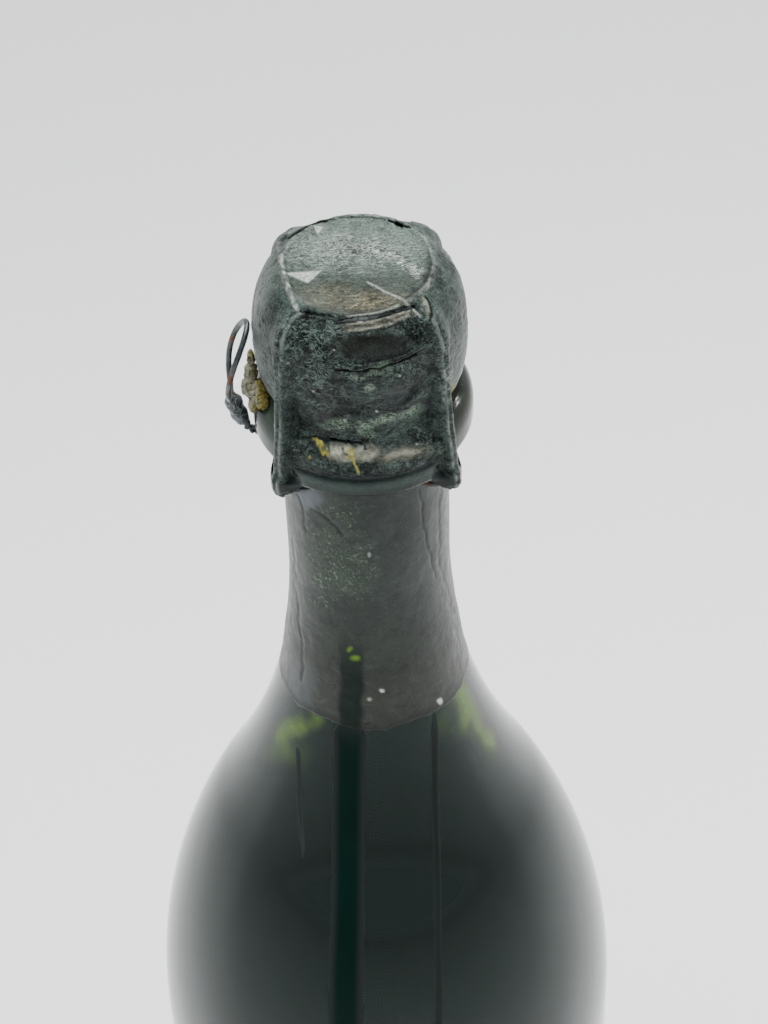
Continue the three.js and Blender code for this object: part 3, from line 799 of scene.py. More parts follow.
def neck_foil_finish():
    finish = Finish("neck_foil_grey")
    cloud = finish.noise(120, 4, 0.6)
    mottle = finish.noise(480, 4, 0.65, 0.4)
    fine = finish.noise(2300, 3, 0.6, 0.2)
    streak = finish.noise(420, 3, 0.6, 0.5, finish.stretched(0.3, 0.3, 1.4))
    crust, reflection_stripe = finish.mask("crust"), finish.mask("reflection_stripe")
    finish.ground(cloud, (0.0105, 0.0168, 0.0137), (0.023, 0.032, 0.0266))
    finish.paint(finish.mask("brown"), (0.026, 0.0258, 0.0196))
    finish.speckle(mottle, 0.48, 0.32, 0.55, (0.0045, 0.007, 0.0056))
    finish.speckle(mottle, 0.53, 0.72, 0.6, (0.042, 0.052, 0.044))
    finish.speckle(fine, 0.58, 0.74, 0.5, (0.06, 0.07, 0.06))
    scratches = finish.fibres(420, 0.03, 0.9, finish.stretched(0.25, 0.25, 1.7))
    finish.paint(finish.times(scratches, finish.band(cloud, 0.42, 0.62), 0.2), (0.055, 0.066, 0.056))
    grit = finish.most(finish.band(finish.noise(3300, 3, 0.65), 0.5, 0.68),
                       finish.times(finish.fibres(1300, 0.1, 1.3), 0.6))
    finish.paint(finish.times(crust, finish.band(grit, 0.0, 1.0, 0.14, 0.62)), (0.105, 0.14, 0.1))
    flecks = finish.band(finish.noise(1500, 3, 0.6, 0.4), 0.56, 0.68)
    finish.paint(finish.times(crust, flecks, 0.7), (0.2, 0.245, 0.19))
    # Painted dark reflection: the stripe painted dark, and its coat taken away
    finish.paint(reflection_stripe, (0.0016, 0.0085, 0.006))
    finish.paint(finish.mask("blue"), (0.075, 0.09, 0.1))
    # Painted shade: darker in the fold lines, in the creases on the back and along the lower edge
    finish.paint(finish.times(finish.mask("fold"), 0.75), (0.003, 0.0045, 0.004))
    finish.paint(finish.mask("lime"), (0.1, 0.2, 0.01))
    finish.paint(finish.mask("white"), (0.55, 0.57, 0.55))
    rough = finish.blend(crust, finish.band(mottle, 0.3, 0.7, 0.38, 0.55), 0.75)
    height = finish.plus(finish.times(fine, 0.3), mottle, finish.times(streak, 0.12))
    coat = finish.band(reflection_stripe, 0.0, 1.0, 0.35, 0.0)
    finish.bump(height, 0.0002, 0.42)
    return finish.done(Roughness=rough, Metallic=0.1, Specular_IOR_Level=0.14, Coat_Weight=coat,
                       Coat_Roughness=0.25, Coat_IOR=1.3)


def neck_foil():
    azimuths = np.linspace(-np.pi, np.pi, NECK_COLUMNS, endpoint=False)
    share = np.linspace(0, 1, NECK_ROWS)[:, None]
    rim = polar(azimuths, 20.0, 0.0)
    bottom = NECK_FOIL_BOTTOM + 0.5 * noise(rim, 6, 3) + 0.25 * noise(rim, 1.5, 4)
    heights = lerp(NECK_FOIL_TOP, bottom[None, :], share)
    standoff = NECK_FOIL_STANDOFF * lerp(1.0, NECK_FOIL_EDGE_SHARE, smooth(share, 0.8, 1.0))
    radii = glass_radius(heights) + standoff
    outer = polar(azimuths[None, :], radii, heights)
    normals = grid_normals(outer)
    x, y = to_photo(outer)
    seen = faces_camera(outer, normals)
    x = x + 2.2 * rough_noise(outer, 2.6, 25)
    y = y + 2.2 * rough_noise(outer, 2.6, 27)
    turned = polar(azimuths[None, :] + 2.2, radii, heights)
    behind = smooth(np.cos(azimuths), 0.1, -0.3)[None, :]
    creases = np.abs(noise(turned * np.array([1, 1, 0.18]), 4.5, 9))
    # The folds press the foil in and carry painted shade, as does its lower edge
    fold = most(strongest(stroke, x, y, NECK_FOLDS) * seen, behind * (1 - smooth(creases, 0.0, 0.07)),
                0.7 * smooth(share, 0.96, 1.0))
    crust = strongest(patch, x, y, NECK_CRUST) * seen * smooth(rough_noise(outer, 3.0, 29), -0.9, 0.15)
    crust = most(crust, 0.8 * behind * smooth(rough_noise(turned, 11, 12), 0.15, 0.7))
    wrinkle = 0.05 * rough_noise(outer * np.array([1, 1, 0.4]), 3.2, 15) + 0.025 * noise(outer, 1.1, 17)
    lift = wrinkle - 0.07 * fold + crust * (0.05 + 0.06 * rough_noise(outer, 0.9, 19))
    lift *= smooth(share, 0.0, 0.02) * smooth(share, 1.0, 0.95)
    outer = outer + normals * np.maximum(lift, -0.12)[..., None]
    thickness = standoff * NECK_FOIL_THICKNESS / NECK_FOIL_STANDOFF
    inner = (outer - normals * thickness[..., None])[::-8]
    masks = {
        "fold": fold,
        "crust": crust,
        "brown": smooth(y, 580, 690) * (0.6 + 0.4 * noise(outer, 8, 21)),
        "blue": strongest(patch, x, y, NECK_BLUE) * seen,
        "lime": strongest(patch, x, y, NECK_LIME) * seen,
        "white": strongest(patch, x, y, NECK_WHITE) * seen,
        "reflection_stripe": smooth(np.abs(x - NECK_REFLECTION_COLUMN), 15, 8) * smooth(y, 610, 690) * seen,
    }
    points = np.concatenate([outer, inner]).reshape(-1, 3)
    blank = np.zeros(inner.shape[:2])
    masks = {label: np.concatenate([values, blank]) for label, values in masks.items()}
    faces = grid_faces(len(outer) + len(inner), NECK_COLUMNS, closed_rows=True)
    return finish_mesh("foil_neck", points, faces, masks)


dress(neck_foil(), neck_foil_finish(), "bottle", "neck_foil", "neck_foil")


# Hood

# The mesh is finer on the side that the photograph shows, within these degrees of the front
HOOD_FINE_SIDE = 110
HOOD_FINE_STEP = 0.5
HOOD_COARSE_STEP = 1.25
HOOD_HEAD_ROWS = 66
HOOD_SIDE_ROWS = 96
CROWN_EDGE = 12.3
DISC_HEIGHT = 322.75
DISC_FLAT_RADIUS = 10.6
ROLL_HEIGHT = 292.4
ROLL_REACH = 1.7
GROOVE_HEIGHT = 294.7
FOOT_BELT_GAP = 0.85
FOOT_EYE_GAP = 0.75
FOOT_TUCK = 0.3
# Profiles over a panel and over a leg, as radius and height
HEAD_MIDDLE = (10.5, 311.5)
PANEL_HEAD = [(12.3, 322.95), (12.75, 322.45), (13.3, 321.95), (14.2, 321.05), (15.2, 319.7), (16.0, 317.9),
              (16.6, 315.6), (16.9, 313.3), (17.0, 311.5)]
LEG_HEAD = [(12.3, 322.95), (13.0, 322.85), (14.05, 322.2), (15.35, 321.4), (16.9, 319.7), (17.7, 317.8),
            (18.15, 315.7), (18.4, 313.5), (18.5, 311.5)]
PANEL_SIDE = [(17.0, 311.5), (16.95, 308.5), (16.8, 306), (16.5, 304), (16.15, 302.6), (16.0, 301.8),
              (16.1, 301), (16.45, 300.2), (16.95, 299.2), (17.5, 298), (17.95, 296.9), (18.25, 295.6),
              (18.4, 294), (18.35, 292.4), (18.45, 291), (18.45, 290)]
LEG_SIDE = [(18.5, 311.5), (18.65, 308), (19.15, 303.5), (19.45, 300), (19.8, 297), (19.95, 295), (20.1, 293),
            (20.35, 291), (20.35, 290)]
STRAP_REACH = 1.75
STRAP_HEAD_REACH = 4.5

# Marks that shape the foil. A line is its route and half width, and a spot its middle, reach and edge.
# In a table of several marks, each has its strength first.
CRACK = (
    (1.0, [(301, 312), (321, 315), (336, 320)], 1.3),
    (1.0, [(338, 322), (352, 320.5), (370, 318), (384, 315), (396, 311.5), (413, 306)], 2.0),
    (0.9, [(289, 238), (297, 232.5), (307, 226.5), (317, 223), (327, 220.5)], 1.1),
    (0.5, [(327, 220), (345, 218), (365, 217.5), (385, 219.5)], 0.9),
    (1.0, [(389, 220.5), (399, 224), (410, 228)], 1.0),
    (1.0, [(396, 223), (402, 225.2)], 2.2),
)
GILDED_BAND = ([(346, 328), (352, 327.5), (370, 325), (395, 318.5), (410, 311.5)], 4.2)
LIPS = (
    (1.0, [(349, 331.5), (370, 328.5), (383, 326), (395, 322), (409, 315.5)], 1.1),
    (0.8, [(347, 324.5), (370, 322.5), (395, 316), (409, 310)], 1.2),
)
RIDGE = ([(279, 243), (280, 254), (282, 266), (286, 281), (291, 297), (297, 309)], 2.4)
FOLD_EDGE = ([(349, 316.5), (378, 313), (399, 305)], 1.3)
CREASE = ([(318, 364), (336, 366), (356, 367), (376, 365), (396, 359), (413, 352), (424, 345), (431, 346),
           (436, 352)], 2.0)
SLIT = (
    (1.0, [(302, 437), (316, 437), (332, 440), (350, 442), (362, 442)], 1.1),
    (1.0, [(324, 440), (336, 440), (352, 442)], 1.7),
)
SCRATCH = ([(367, 282), (385, 292), (403, 300)], 1.5)
RODS = (
    (1.0, [(302, 313), (293, 321), (285, 332), (281, 348)], 2.4),
    (1.0, [(424, 302), (432, 316), (438, 334), (443, 350)], 2.2),
)
SWELL = ([(396, 411), (414, 401), (432, 387)], 5)
SMOOTH_BAND = ((369, 347), (42, 15), 0.4)
HOLLOW = ((365, 398), (62, 24), 0.6)
TAN_BULGE = ((348, 452), (22, 9), 0.4)

# Marks that only colour the foil. The sheen is a pixel column and its reach; a flake is its corners and edge.
VERDIGRIS_LINES = (
    (1.0, [(354, 377), (368, 372), (388, 367)], 6),
    (1.0, [(326, 424), (346, 423), (366, 427), (384, 419), (408, 414), (422, 406)], 4.5),
    (1.0, [(330, 428), (350, 429), (372, 434)], 3.5),
)
VERDIGRIS_SPOT = ((370, 389), (5, 4))
YELLOW_FLAKE = ([(312, 437), (320, 436), (331, 453), (325, 458)], 2.0)
YELLOW_SPOTS = ((0.5, (310, 458), (2, 2)), (0.75, (351, 452), (4.5, 6)))
YELLOW_LINES = ((0.8, [(353, 454), (354, 464), (358, 473)], 1.2), (0.7, [(453, 386), (454, 399)], 2.4))
TAN_SPOTS = ((1.0, (342, 452), (13, 9)), (0.7, (366, 452), (13, 8)))
TAN_GAP = ([(329, 438), (330, 454)], 1.5)
# Painted highlight: a bronze glow along the top of the lip's bulge
BRONZE_HIGHLIGHT = ([(382, 458), (398, 453.5), (414, 451.5), (434, 449.5)], 5)
BRONZE_LINE = ([(423, 298), (427, 307), (428, 316)], 1.6)
BRONZE_SHEEN = (402, 26)
# Painted highlight: golden glints over the front of the disc
GOLD_GLINT_SPOTS = ((1.0, (370, 302), (34, 9), 0.7), (0.6, (330, 297), (26, 12), 0.7))
# Scratches on the disc, partly wear and partly painted highlight: painted bright with the glints they catch
SCRATCH_GLINT_LINE = ([(366, 248), (385, 253), (402, 262), (417, 272)], 6)
SCRATCH_GLINT_SPOT = ((352, 252), (62, 18), 0.7)
PALE_FLAKES = (
    (1.0, [(284, 273), (321, 271), (308, 283)], 0.9),
    (1.0, [(314, 226), (323, 227), (318, 235)], 0.9),
)
WHITE_SPECKS = ((377, 412), (369, 388), (313, 392), (400, 376), (334, 350), (288, 363), (417, 444),
                (345, 421))
SPECK_REACH = (1.2, 1.0)
# Painted highlights along the raised rim of the disc
RIM_HIGHLIGHT = (
    (0.5, [(288, 234.5), (300, 227), (312, 221.5), (327, 217.5), (345, 215.5), (365, 215), (385, 217),
           (399, 221)], 1.0),
    (0.45, [(415, 229), (424, 238), (430, 249), (433, 262), (431, 277), (426, 291)], 1.1),
)
# Painted highlight: the paler middle of the highlight on the lip's bulge
PALE_HIGHLIGHT = ([(386, 456), (398, 453), (412, 451.5)], 2.6)
PALE_SCRATCH = ([(367, 282), (385, 292), (403, 300), (420, 316)], 1.3)
PALE_TEAR = ((446, 388), (7, 26), 0.5)
# Painted light: the left flank of the head, lighter where light falls on it
LIT_FLANK = ([(271, 262), (266, 282), (261, 300)], 9)
# Painted shade: dark lines below the raised crease and beside the right end of the crack
SHADE_LINES = (
    (0.8, [(336, 370), (362, 370.5), (380, 368), (400, 361), (416, 354)], 1.5),
    (0.8, [(426, 297), (431, 309), (429, 320)], 1.2),
)
FIBROUS_SPOT = ((312, 362), (38, 34), 0.7)
SMOOTH_SPOT = ((380, 398), (56, 16), 0.7)


def polar_profile(controls, angles):
    """How far a profile lies from the head's middle, at each angle."""
    line, _ = curve_through(controls, 200)
    away = line - np.array(HEAD_MIDDLE)
    turn = np.arctan2(away[:, 1], away[:, 0])
    order = np.argsort(turn)
    return np.interp(angles, turn[order], np.hypot(away[:, 0], away[:, 1])[order])


def side_profile(controls, heights):
    line, _ = curve_through(controls, 300)
    return np.interp(heights, line[::-1, 1], line[::-1, 0])


def leg_distance(azimuths, radius):
    """How far each azimuth lies from the nearest leg, along a circle of the given radius."""
    spacing = FULL_TURN / LEG_COUNT
    away = (azimuths / spacing - 0.5) % 1.0
    return np.minimum(away, 1 - away) * spacing * radius


def strap_share(azimuths, radius, reach=STRAP_REACH):
    """How much of a leg's ridge each azimuth takes: 1 on a leg, 0 at the given reach in mm from it."""
    away = leg_distance(azimuths, radius)
    return smooth(away, reach, 0.55) * (1 - 0.1 * bell(away, 0, 0.3))


def strap_lines(points):
    """The two lines where the foil is pressed over the twisted wires of each leg."""
    return bell(leg_distance(azimuth_of(points), radius_of(points)), 0.6, 0.2)


def foot_radius(azimuths, heights):
    """The foil's radius where it hangs over the belt and over the eye of each leg."""
    away = leg_distance(azimuths, HOOD_SIDE_RADIUS)[None, :]
    wave = (1 + np.cos(LEG_COUNT * away / HOOD_SIDE_RADIUS)) / 2
    over_belt = lerp(GRIP_RADIUS, EYE_RADIUS, wave ** 3) + FOOT_BELT_GAP
    over_eye = FOOT_EYE_GAP * bell(away, 0, 1)
    return over_belt + over_eye - FOOT_TUCK * smooth(heights, HOOD_HEM - 1.7, HOOD_HEM - FOOT_DROP)


def tear_edge(azimuths):
    """Height of the hood's lower edge: the hem, or the ragged arch of a side tear."""
    rim = polar(azimuths, HOOD_SIDE_RADIUS, 0.0)
    ragged = 0.5 * noise(rim, 2.2, 31) + 0.35 * noise(rim, 0.8, 32)
    across = np.abs(rim[:, 1]) + 0.4 * ragged
    corner = np.clip((across - TEAR_HALF_WIDTH + TEAR_CORNER) / TEAR_CORNER, 0, 1)
    arch = TEAR_TOP - TEAR_CORNER * (1 - np.sqrt(1 - corner ** 2)) + 0.7 * ragged
    foot = FOOT_DROP * smooth(leg_distance(azimuths, HOOD_SIDE_RADIUS), 5.0, 0.6)
    return np.where(across < TEAR_HALF_WIDTH, arch, HOOD_HEM + 0.12 * noise(rim, 4, 33) - foot)


def hood_surface():
    """The hood's outer surface before it is crumpled, from the middle of the disc down to the hem."""
    near = np.arange(-HOOD_FINE_SIDE, HOOD_FINE_SIDE, HOOD_FINE_STEP)
    far = np.arange(HOOD_FINE_SIDE, 360 - HOOD_FINE_SIDE, HOOD_COARSE_STEP)
    azimuths = np.radians(np.concatenate([near, far]))
    disc_radii = np.concatenate([np.linspace(0.5, DISC_FLAT_RADIUS, 52), np.linspace(10.75, CROWN_EDGE, 12)])
    disc_rise = DISC_HEIGHT + 0.3 * smooth(disc_radii, DISC_FLAT_RADIUS, CROWN_RADIUS)
    disc_rise -= 0.1 * smooth(disc_radii, 12.0, CROWN_EDGE)
    disc = polar(azimuths[None, :], disc_radii[:, None], disc_rise[:, None])
    first = math.atan2(PANEL_HEAD[0][1] - HEAD_MIDDLE[1], PANEL_HEAD[0][0] - HEAD_MIDDLE[0])
    angles = np.linspace(first, 0, HOOD_HEAD_ROWS)[1:]
    strap_reach = lerp(STRAP_REACH, STRAP_HEAD_REACH, smooth(angles, 0, 0.9))[:, None]
    strap = strap_share(azimuths[None, :], 16.5, strap_reach)
    reach = lerp(polar_profile(PANEL_HEAD, angles)[:, None], polar_profile(LEG_HEAD, angles)[:, None], strap)
    head = polar(azimuths[None, :], HEAD_MIDDLE[0] + reach * np.cos(angles)[:, None],
                 HEAD_MIDDLE[1] + reach * np.sin(angles)[:, None])
    share = np.linspace(0, 1, HOOD_SIDE_ROWS)[1:, None]
    heights = lerp(HEAD_MIDDLE[1], tear_edge(azimuths)[None, :], share)
    strap = strap_share(azimuths, HOOD_SIDE_RADIUS)[None, :]
    radii = lerp(side_profile(PANEL_SIDE, heights), side_profile(LEG_SIDE, heights), strap)
    foot = np.maximum(radii, foot_radius(azimuths, heights))
    radii = lerp(radii, foot, smooth(heights, HOOD_HEM + 1.4, HOOD_HEM - 0.4))
    side = polar(azimuths[None, :], radii, heights)
    return azimuths, np.concatenate([disc, head, side])


def hood_marks(azimuths, outer, seen, exact, soft, ragged):
    """The marks that shape the hood, each from 0 to 1. Places are given exact, a little ragged and ragged."""
    radius, height = radius_of(outer), outer[..., 2]
    front = np.cos(azimuths)[None, :] * np.ones_like(radius)
    crack = strongest(stroke, *soft, CRACK)
    lips = strongest(stroke, *soft, LIPS) * (0.6 + 0.4 * smooth(noise(outer, 0.7, 39), -0.4, 0.3))
    gild = stroke(*soft, *GILDED_BAND) * (0.26 + 0.12 * noise(outer, 0.4, 40))
    turns = (np.abs((azimuths + np.pi) % FULL_TURN - np.pi), np.abs(azimuths % FULL_TURN - np.pi))
    panel = most(*(smooth(turn, math.radians(43), math.radians(30))[None, :] for turn in turns))
    rim = bell(radius, CROWN_RADIUS, 0.5) * smooth(height, 321.5, 322.3)
    marks = {
        "crack": crack,
        "lips": lips,
        "gild": most(gild, lips) * (1 - crack),
        "ridge": stroke(*soft, *RIDGE),
        "fold_edge": stroke(*exact, *FOLD_EDGE),
        "crease": stroke(*ragged, *CREASE),
        "slit": strongest(stroke, *ragged, SLIT),
        "scratch": stroke(*ragged, *SCRATCH),
        "rods": strongest(stroke, *ragged, RODS),
        "swell": stroke(*ragged, *SWELL),
        "smooth_band": patch(*ragged, *SMOOTH_BAND),
        "hollow": patch(*ragged, *HOLLOW),
        "tan_bulge": patch(*ragged, *TAN_BULGE),
    }
    marks = {label: values * seen for label, values in marks.items()}
    marks["disc"] = smooth(radius, 12.6, 11.6) * smooth(height, 321.8, 322.5)
    marks["straps"] = strap_share(azimuths, 17.5)[None, :] * smooth(radius, 12.5, 14)
    marks["roll"] = np.sqrt(np.clip(1 - ((height - ROLL_HEIGHT) / ROLL_REACH) ** 2, 0, 1)) * panel
    marks["groove"] = bell(height, GROOVE_HEIGHT, 0.6) * panel
    marks["rim"] = rim * (1 - smooth(front, 0.75, 0.85)) * (0.75 + 0.35 * noise(outer, 2.5, 38))
    marks["far"] = smooth(front, 0.05, -0.25)
    return marks


# How far each mark lifts the foil, in mm
MARK_LIFTS = {"crack": -0.2, "lips": 0.24, "crease": 0.42, "slit": -0.35, "rim": 0.22, "fold_edge": 0.1,
              "roll": 0.35, "groove": -0.15, "ridge": 0.18, "swell": 0.25, "tan_bulge": 0.3, "rods": 0.2}


def hood_foil():
    azimuths, outer = hood_surface()
    normals = grid_normals(outer)
    seen = faces_camera(outer, normals)
    exact = to_photo(outer)
    ragged = [place + 1.3 * rough_noise(outer, 1.3, seed) for place, seed in zip(exact, (34, 36))]
    soft = [lerp(place, torn, 0.4) for place, torn in zip(exact, ragged)]
    marks = hood_marks(azimuths, outer, seen, exact, soft, ragged)
    disc = marks["disc"]
    wrinkle = 1 - smooth(np.abs(noise(outer * np.array([1, 1, 0.6]) + 40, 3.4, 41)), 0, 0.12)
    crumple = 0.14 * (0.5 - np.abs(noise(outer * np.array([0.8, 0.8, 1.3]), 1.7, 43)))
    crumple = crumple + 0.09 * (0.5 - np.abs(noise(outer, 0.85, 45))) + 0.08 * rough_noise(outer, 4, 47)
    lift = crumple * (1 - 0.7 * disc) * (1 - 0.8 * marks["smooth_band"])
    lift += 0.12 * wrinkle * marks["far"] * (1 - disc) + 0.12 * marks["scratch"]
    lift *= 1 - 0.8 * marks["roll"]
    lift -= 0.2 * marks["hollow"] * (1 - marks["straps"])
    for label, height in MARK_LIFTS.items():
        lift += height * marks[label]
    surface = outer[..., 2]
    outer = outer + normals * lift[..., None]
    normals = grid_normals(outer)
    masks = hood_masks(outer, surface, seen, exact, ragged, marks)
    masks["worn"] = np.clip(0.5 + 5 * (crumple - crumple.mean()) * smooth(masks["fibrous"], 0.0, 0.3), 0, 1)
    inner = (outer - normals * HOOD_FOIL_THICKNESS)[::-1][::5]
    points = np.concatenate([outer, inner]).reshape(-1, 3)
    rows, columns = len(outer) + len(inner), len(azimuths)
    tips = (outer[0, :, 2].mean(), inner[-1, :, 2].mean())
    blank = np.zeros(inner.shape[:2])
    full = {}
    for label, values in masks.items():
        spread = np.concatenate([values, blank]).ravel()
        full[label] = np.concatenate([spread, [values[0].mean(), 0]])
    return cap_poles("foil_hood", points, grid_faces(rows, columns), rows, columns, tips, full)


def hood_masks(points, height, seen, exact, ragged, marks):
    """The masks that colour the hood. Height is the surface's height before it was crumpled."""
    x, y = ragged
    disc, smooth_band = marks["disc"], marks["smooth_band"]
    off_disc = 1 - disc
    grain = rough_noise(points, 0.7, 51, 2)
    broad = rough_noise(points, 5, 53)
    panel = smooth(np.abs(azimuth_of(points)), math.radians(44), math.radians(38)) * off_disc
    verdigris = most(strongest(stroke, x, y, VERDIGRIS_LINES), 0.7 * patch(x, y, *VERDIGRIS_SPOT))
    verdigris = verdigris * smooth(noise(points, 1.8, 57) + 0.4 * grain, -0.75, 0.3) * 0.86 * seen
    verdigris = most(verdigris, marks["far"] * off_disc * smooth(broad + 0.5 * grain, 0.75, 1.3))
    yellow = most(corner_patch(x, y, *YELLOW_FLAKE), strongest(patch, x, y, YELLOW_SPOTS),
                  strongest(stroke, x, y, YELLOW_LINES)) * smooth(grain, -0.75, 0.1) * seen
    tan = strongest(patch, x, y, TAN_SPOTS) * (1 - stroke(x, y, *TAN_GAP)) * smooth(grain, -0.9, -0.1) * seen
    # Painted highlight on the lip's bulge, and the bronze tone of the gilded band, lips and crack line
    sheen = bell(exact[0], *BRONZE_SHEEN)
    bronze_and_highlight = most(0.9 * glow(*exact, *BRONZE_HIGHLIGHT) * sheen, marks["gild"],
                  0.6 * stroke(x, y, *BRONZE_LINE)) * seen
    painted_gold_glints = strongest(patch, x, y, GOLD_GLINT_SPOTS) * disc
    scratches_and_glints = most(stroke(x, y, *SCRATCH_GLINT_LINE), 0.6 * patch(x, y, *SCRATCH_GLINT_SPOT)) * disc
    # Painted light on the left flank
    lit_flank = glow(*exact, *LIT_FLANK) * seen * off_disc
    gritty = smooth(grain, -0.8, 0.3)
    pale = most(
        strongest(corner_patch, *exact, PALE_FLAKES),
        strongest(patch, *exact, [(0.8, spot, SPECK_REACH) for spot in WHITE_SPECKS]),
        # Painted highlights along the rim and on the lip's bulge
        0.3 * marks["rim"] * smooth(grain, -0.7, 0.4),
        strongest(stroke, *exact, RIM_HIGHLIGHT) * gritty,
        0.5 * glow(*exact, *PALE_HIGHLIGHT) * sheen ** 2,
        0.5 * stroke(*exact, *PALE_SCRATCH),
        0.4 * patch(x, y, *PALE_TEAR) * smooth(grain, 0.0, 0.6),
    ) * seen
    pale = most(
        pale,
        0.4 * strap_lines(points) * smooth(height, 307, 301) * gritty,
        # Painted light on the left flank
        0.22 * lit_flank,
        # Painted sheen: the back of the disc lighter
        0.09 * disc * smooth(y, 268, 238),
        0.2 * marks["rods"],
        # Painted highlights on the disc's front edge, the left ridge and the lips, which are also bronze in
        # tone
        0.35 * marks["fold_edge"],
        0.75 * marks["ridge"] * smooth(rough_noise(points, 0.8, 46), -0.9, 0.5),
        0.3 * marks["lips"],
    )
    # Painted shade: black in the crack, in the slit and along the lines of shade
    painted_shade = most(marks["crack"], marks["slit"], strongest(stroke, x, y, SHADE_LINES)) * seen
    # Painted sheen: disc greyer towards its back; painted light: left flank greyer; sides and straps greyer
    grey = most(disc * lerp(1.0, 0.75, smooth(y, 235, 290)), 0.42 * (1 - panel) * off_disc,
                0.34 * marks["straps"], 0.8 * lit_flank)
    foot = smooth(height, 292.6, 290.6)
    hem = smooth(height, 295.2, 294.4) * panel
    # Painted highlight: the hem's roll lighter; the foot darker towards the bottom
    grey = np.clip(grey + 0.4 * marks["roll"] + 0.12 * broad * off_disc, 0, 1) * (1 - 0.8 * foot)
    fibrous = 0.55 + 0.3 * broad + 0.5 * patch(x, y, *FIBROUS_SPOT) * seen
    fibrous = np.clip(fibrous - 0.35 * patch(x, y, *SMOOTH_SPOT) * seen, 0.05, 1)
    fibrous = fibrous * (1 - 0.85 * smooth_band) * (1 - 0.95 * hem) * (1 - 0.9 * foot)
    brown = most(smooth_band, 0.95 * disc * smooth(y, 255, 300)) * seen
    return {"verdigris": verdigris, "yellow": yellow, "tan": tan, "bronze_and_highlight": bronze_and_highlight, "pale": pale,
            "painted_shade": painted_shade, "grey": grey, "fibrous": fibrous, "brown": brown, "painted_gold_glints": painted_gold_glints,
            "scratches_and_glints": scratches_and_glints}


HAIR_WIDTH = 0.045
# Directions in radians and scales of the fine hairs on the foil
HAIR_SETS = ((0.45, 1500), (-0.5, 1400), (1.25, 1700), (0.0, 1800))


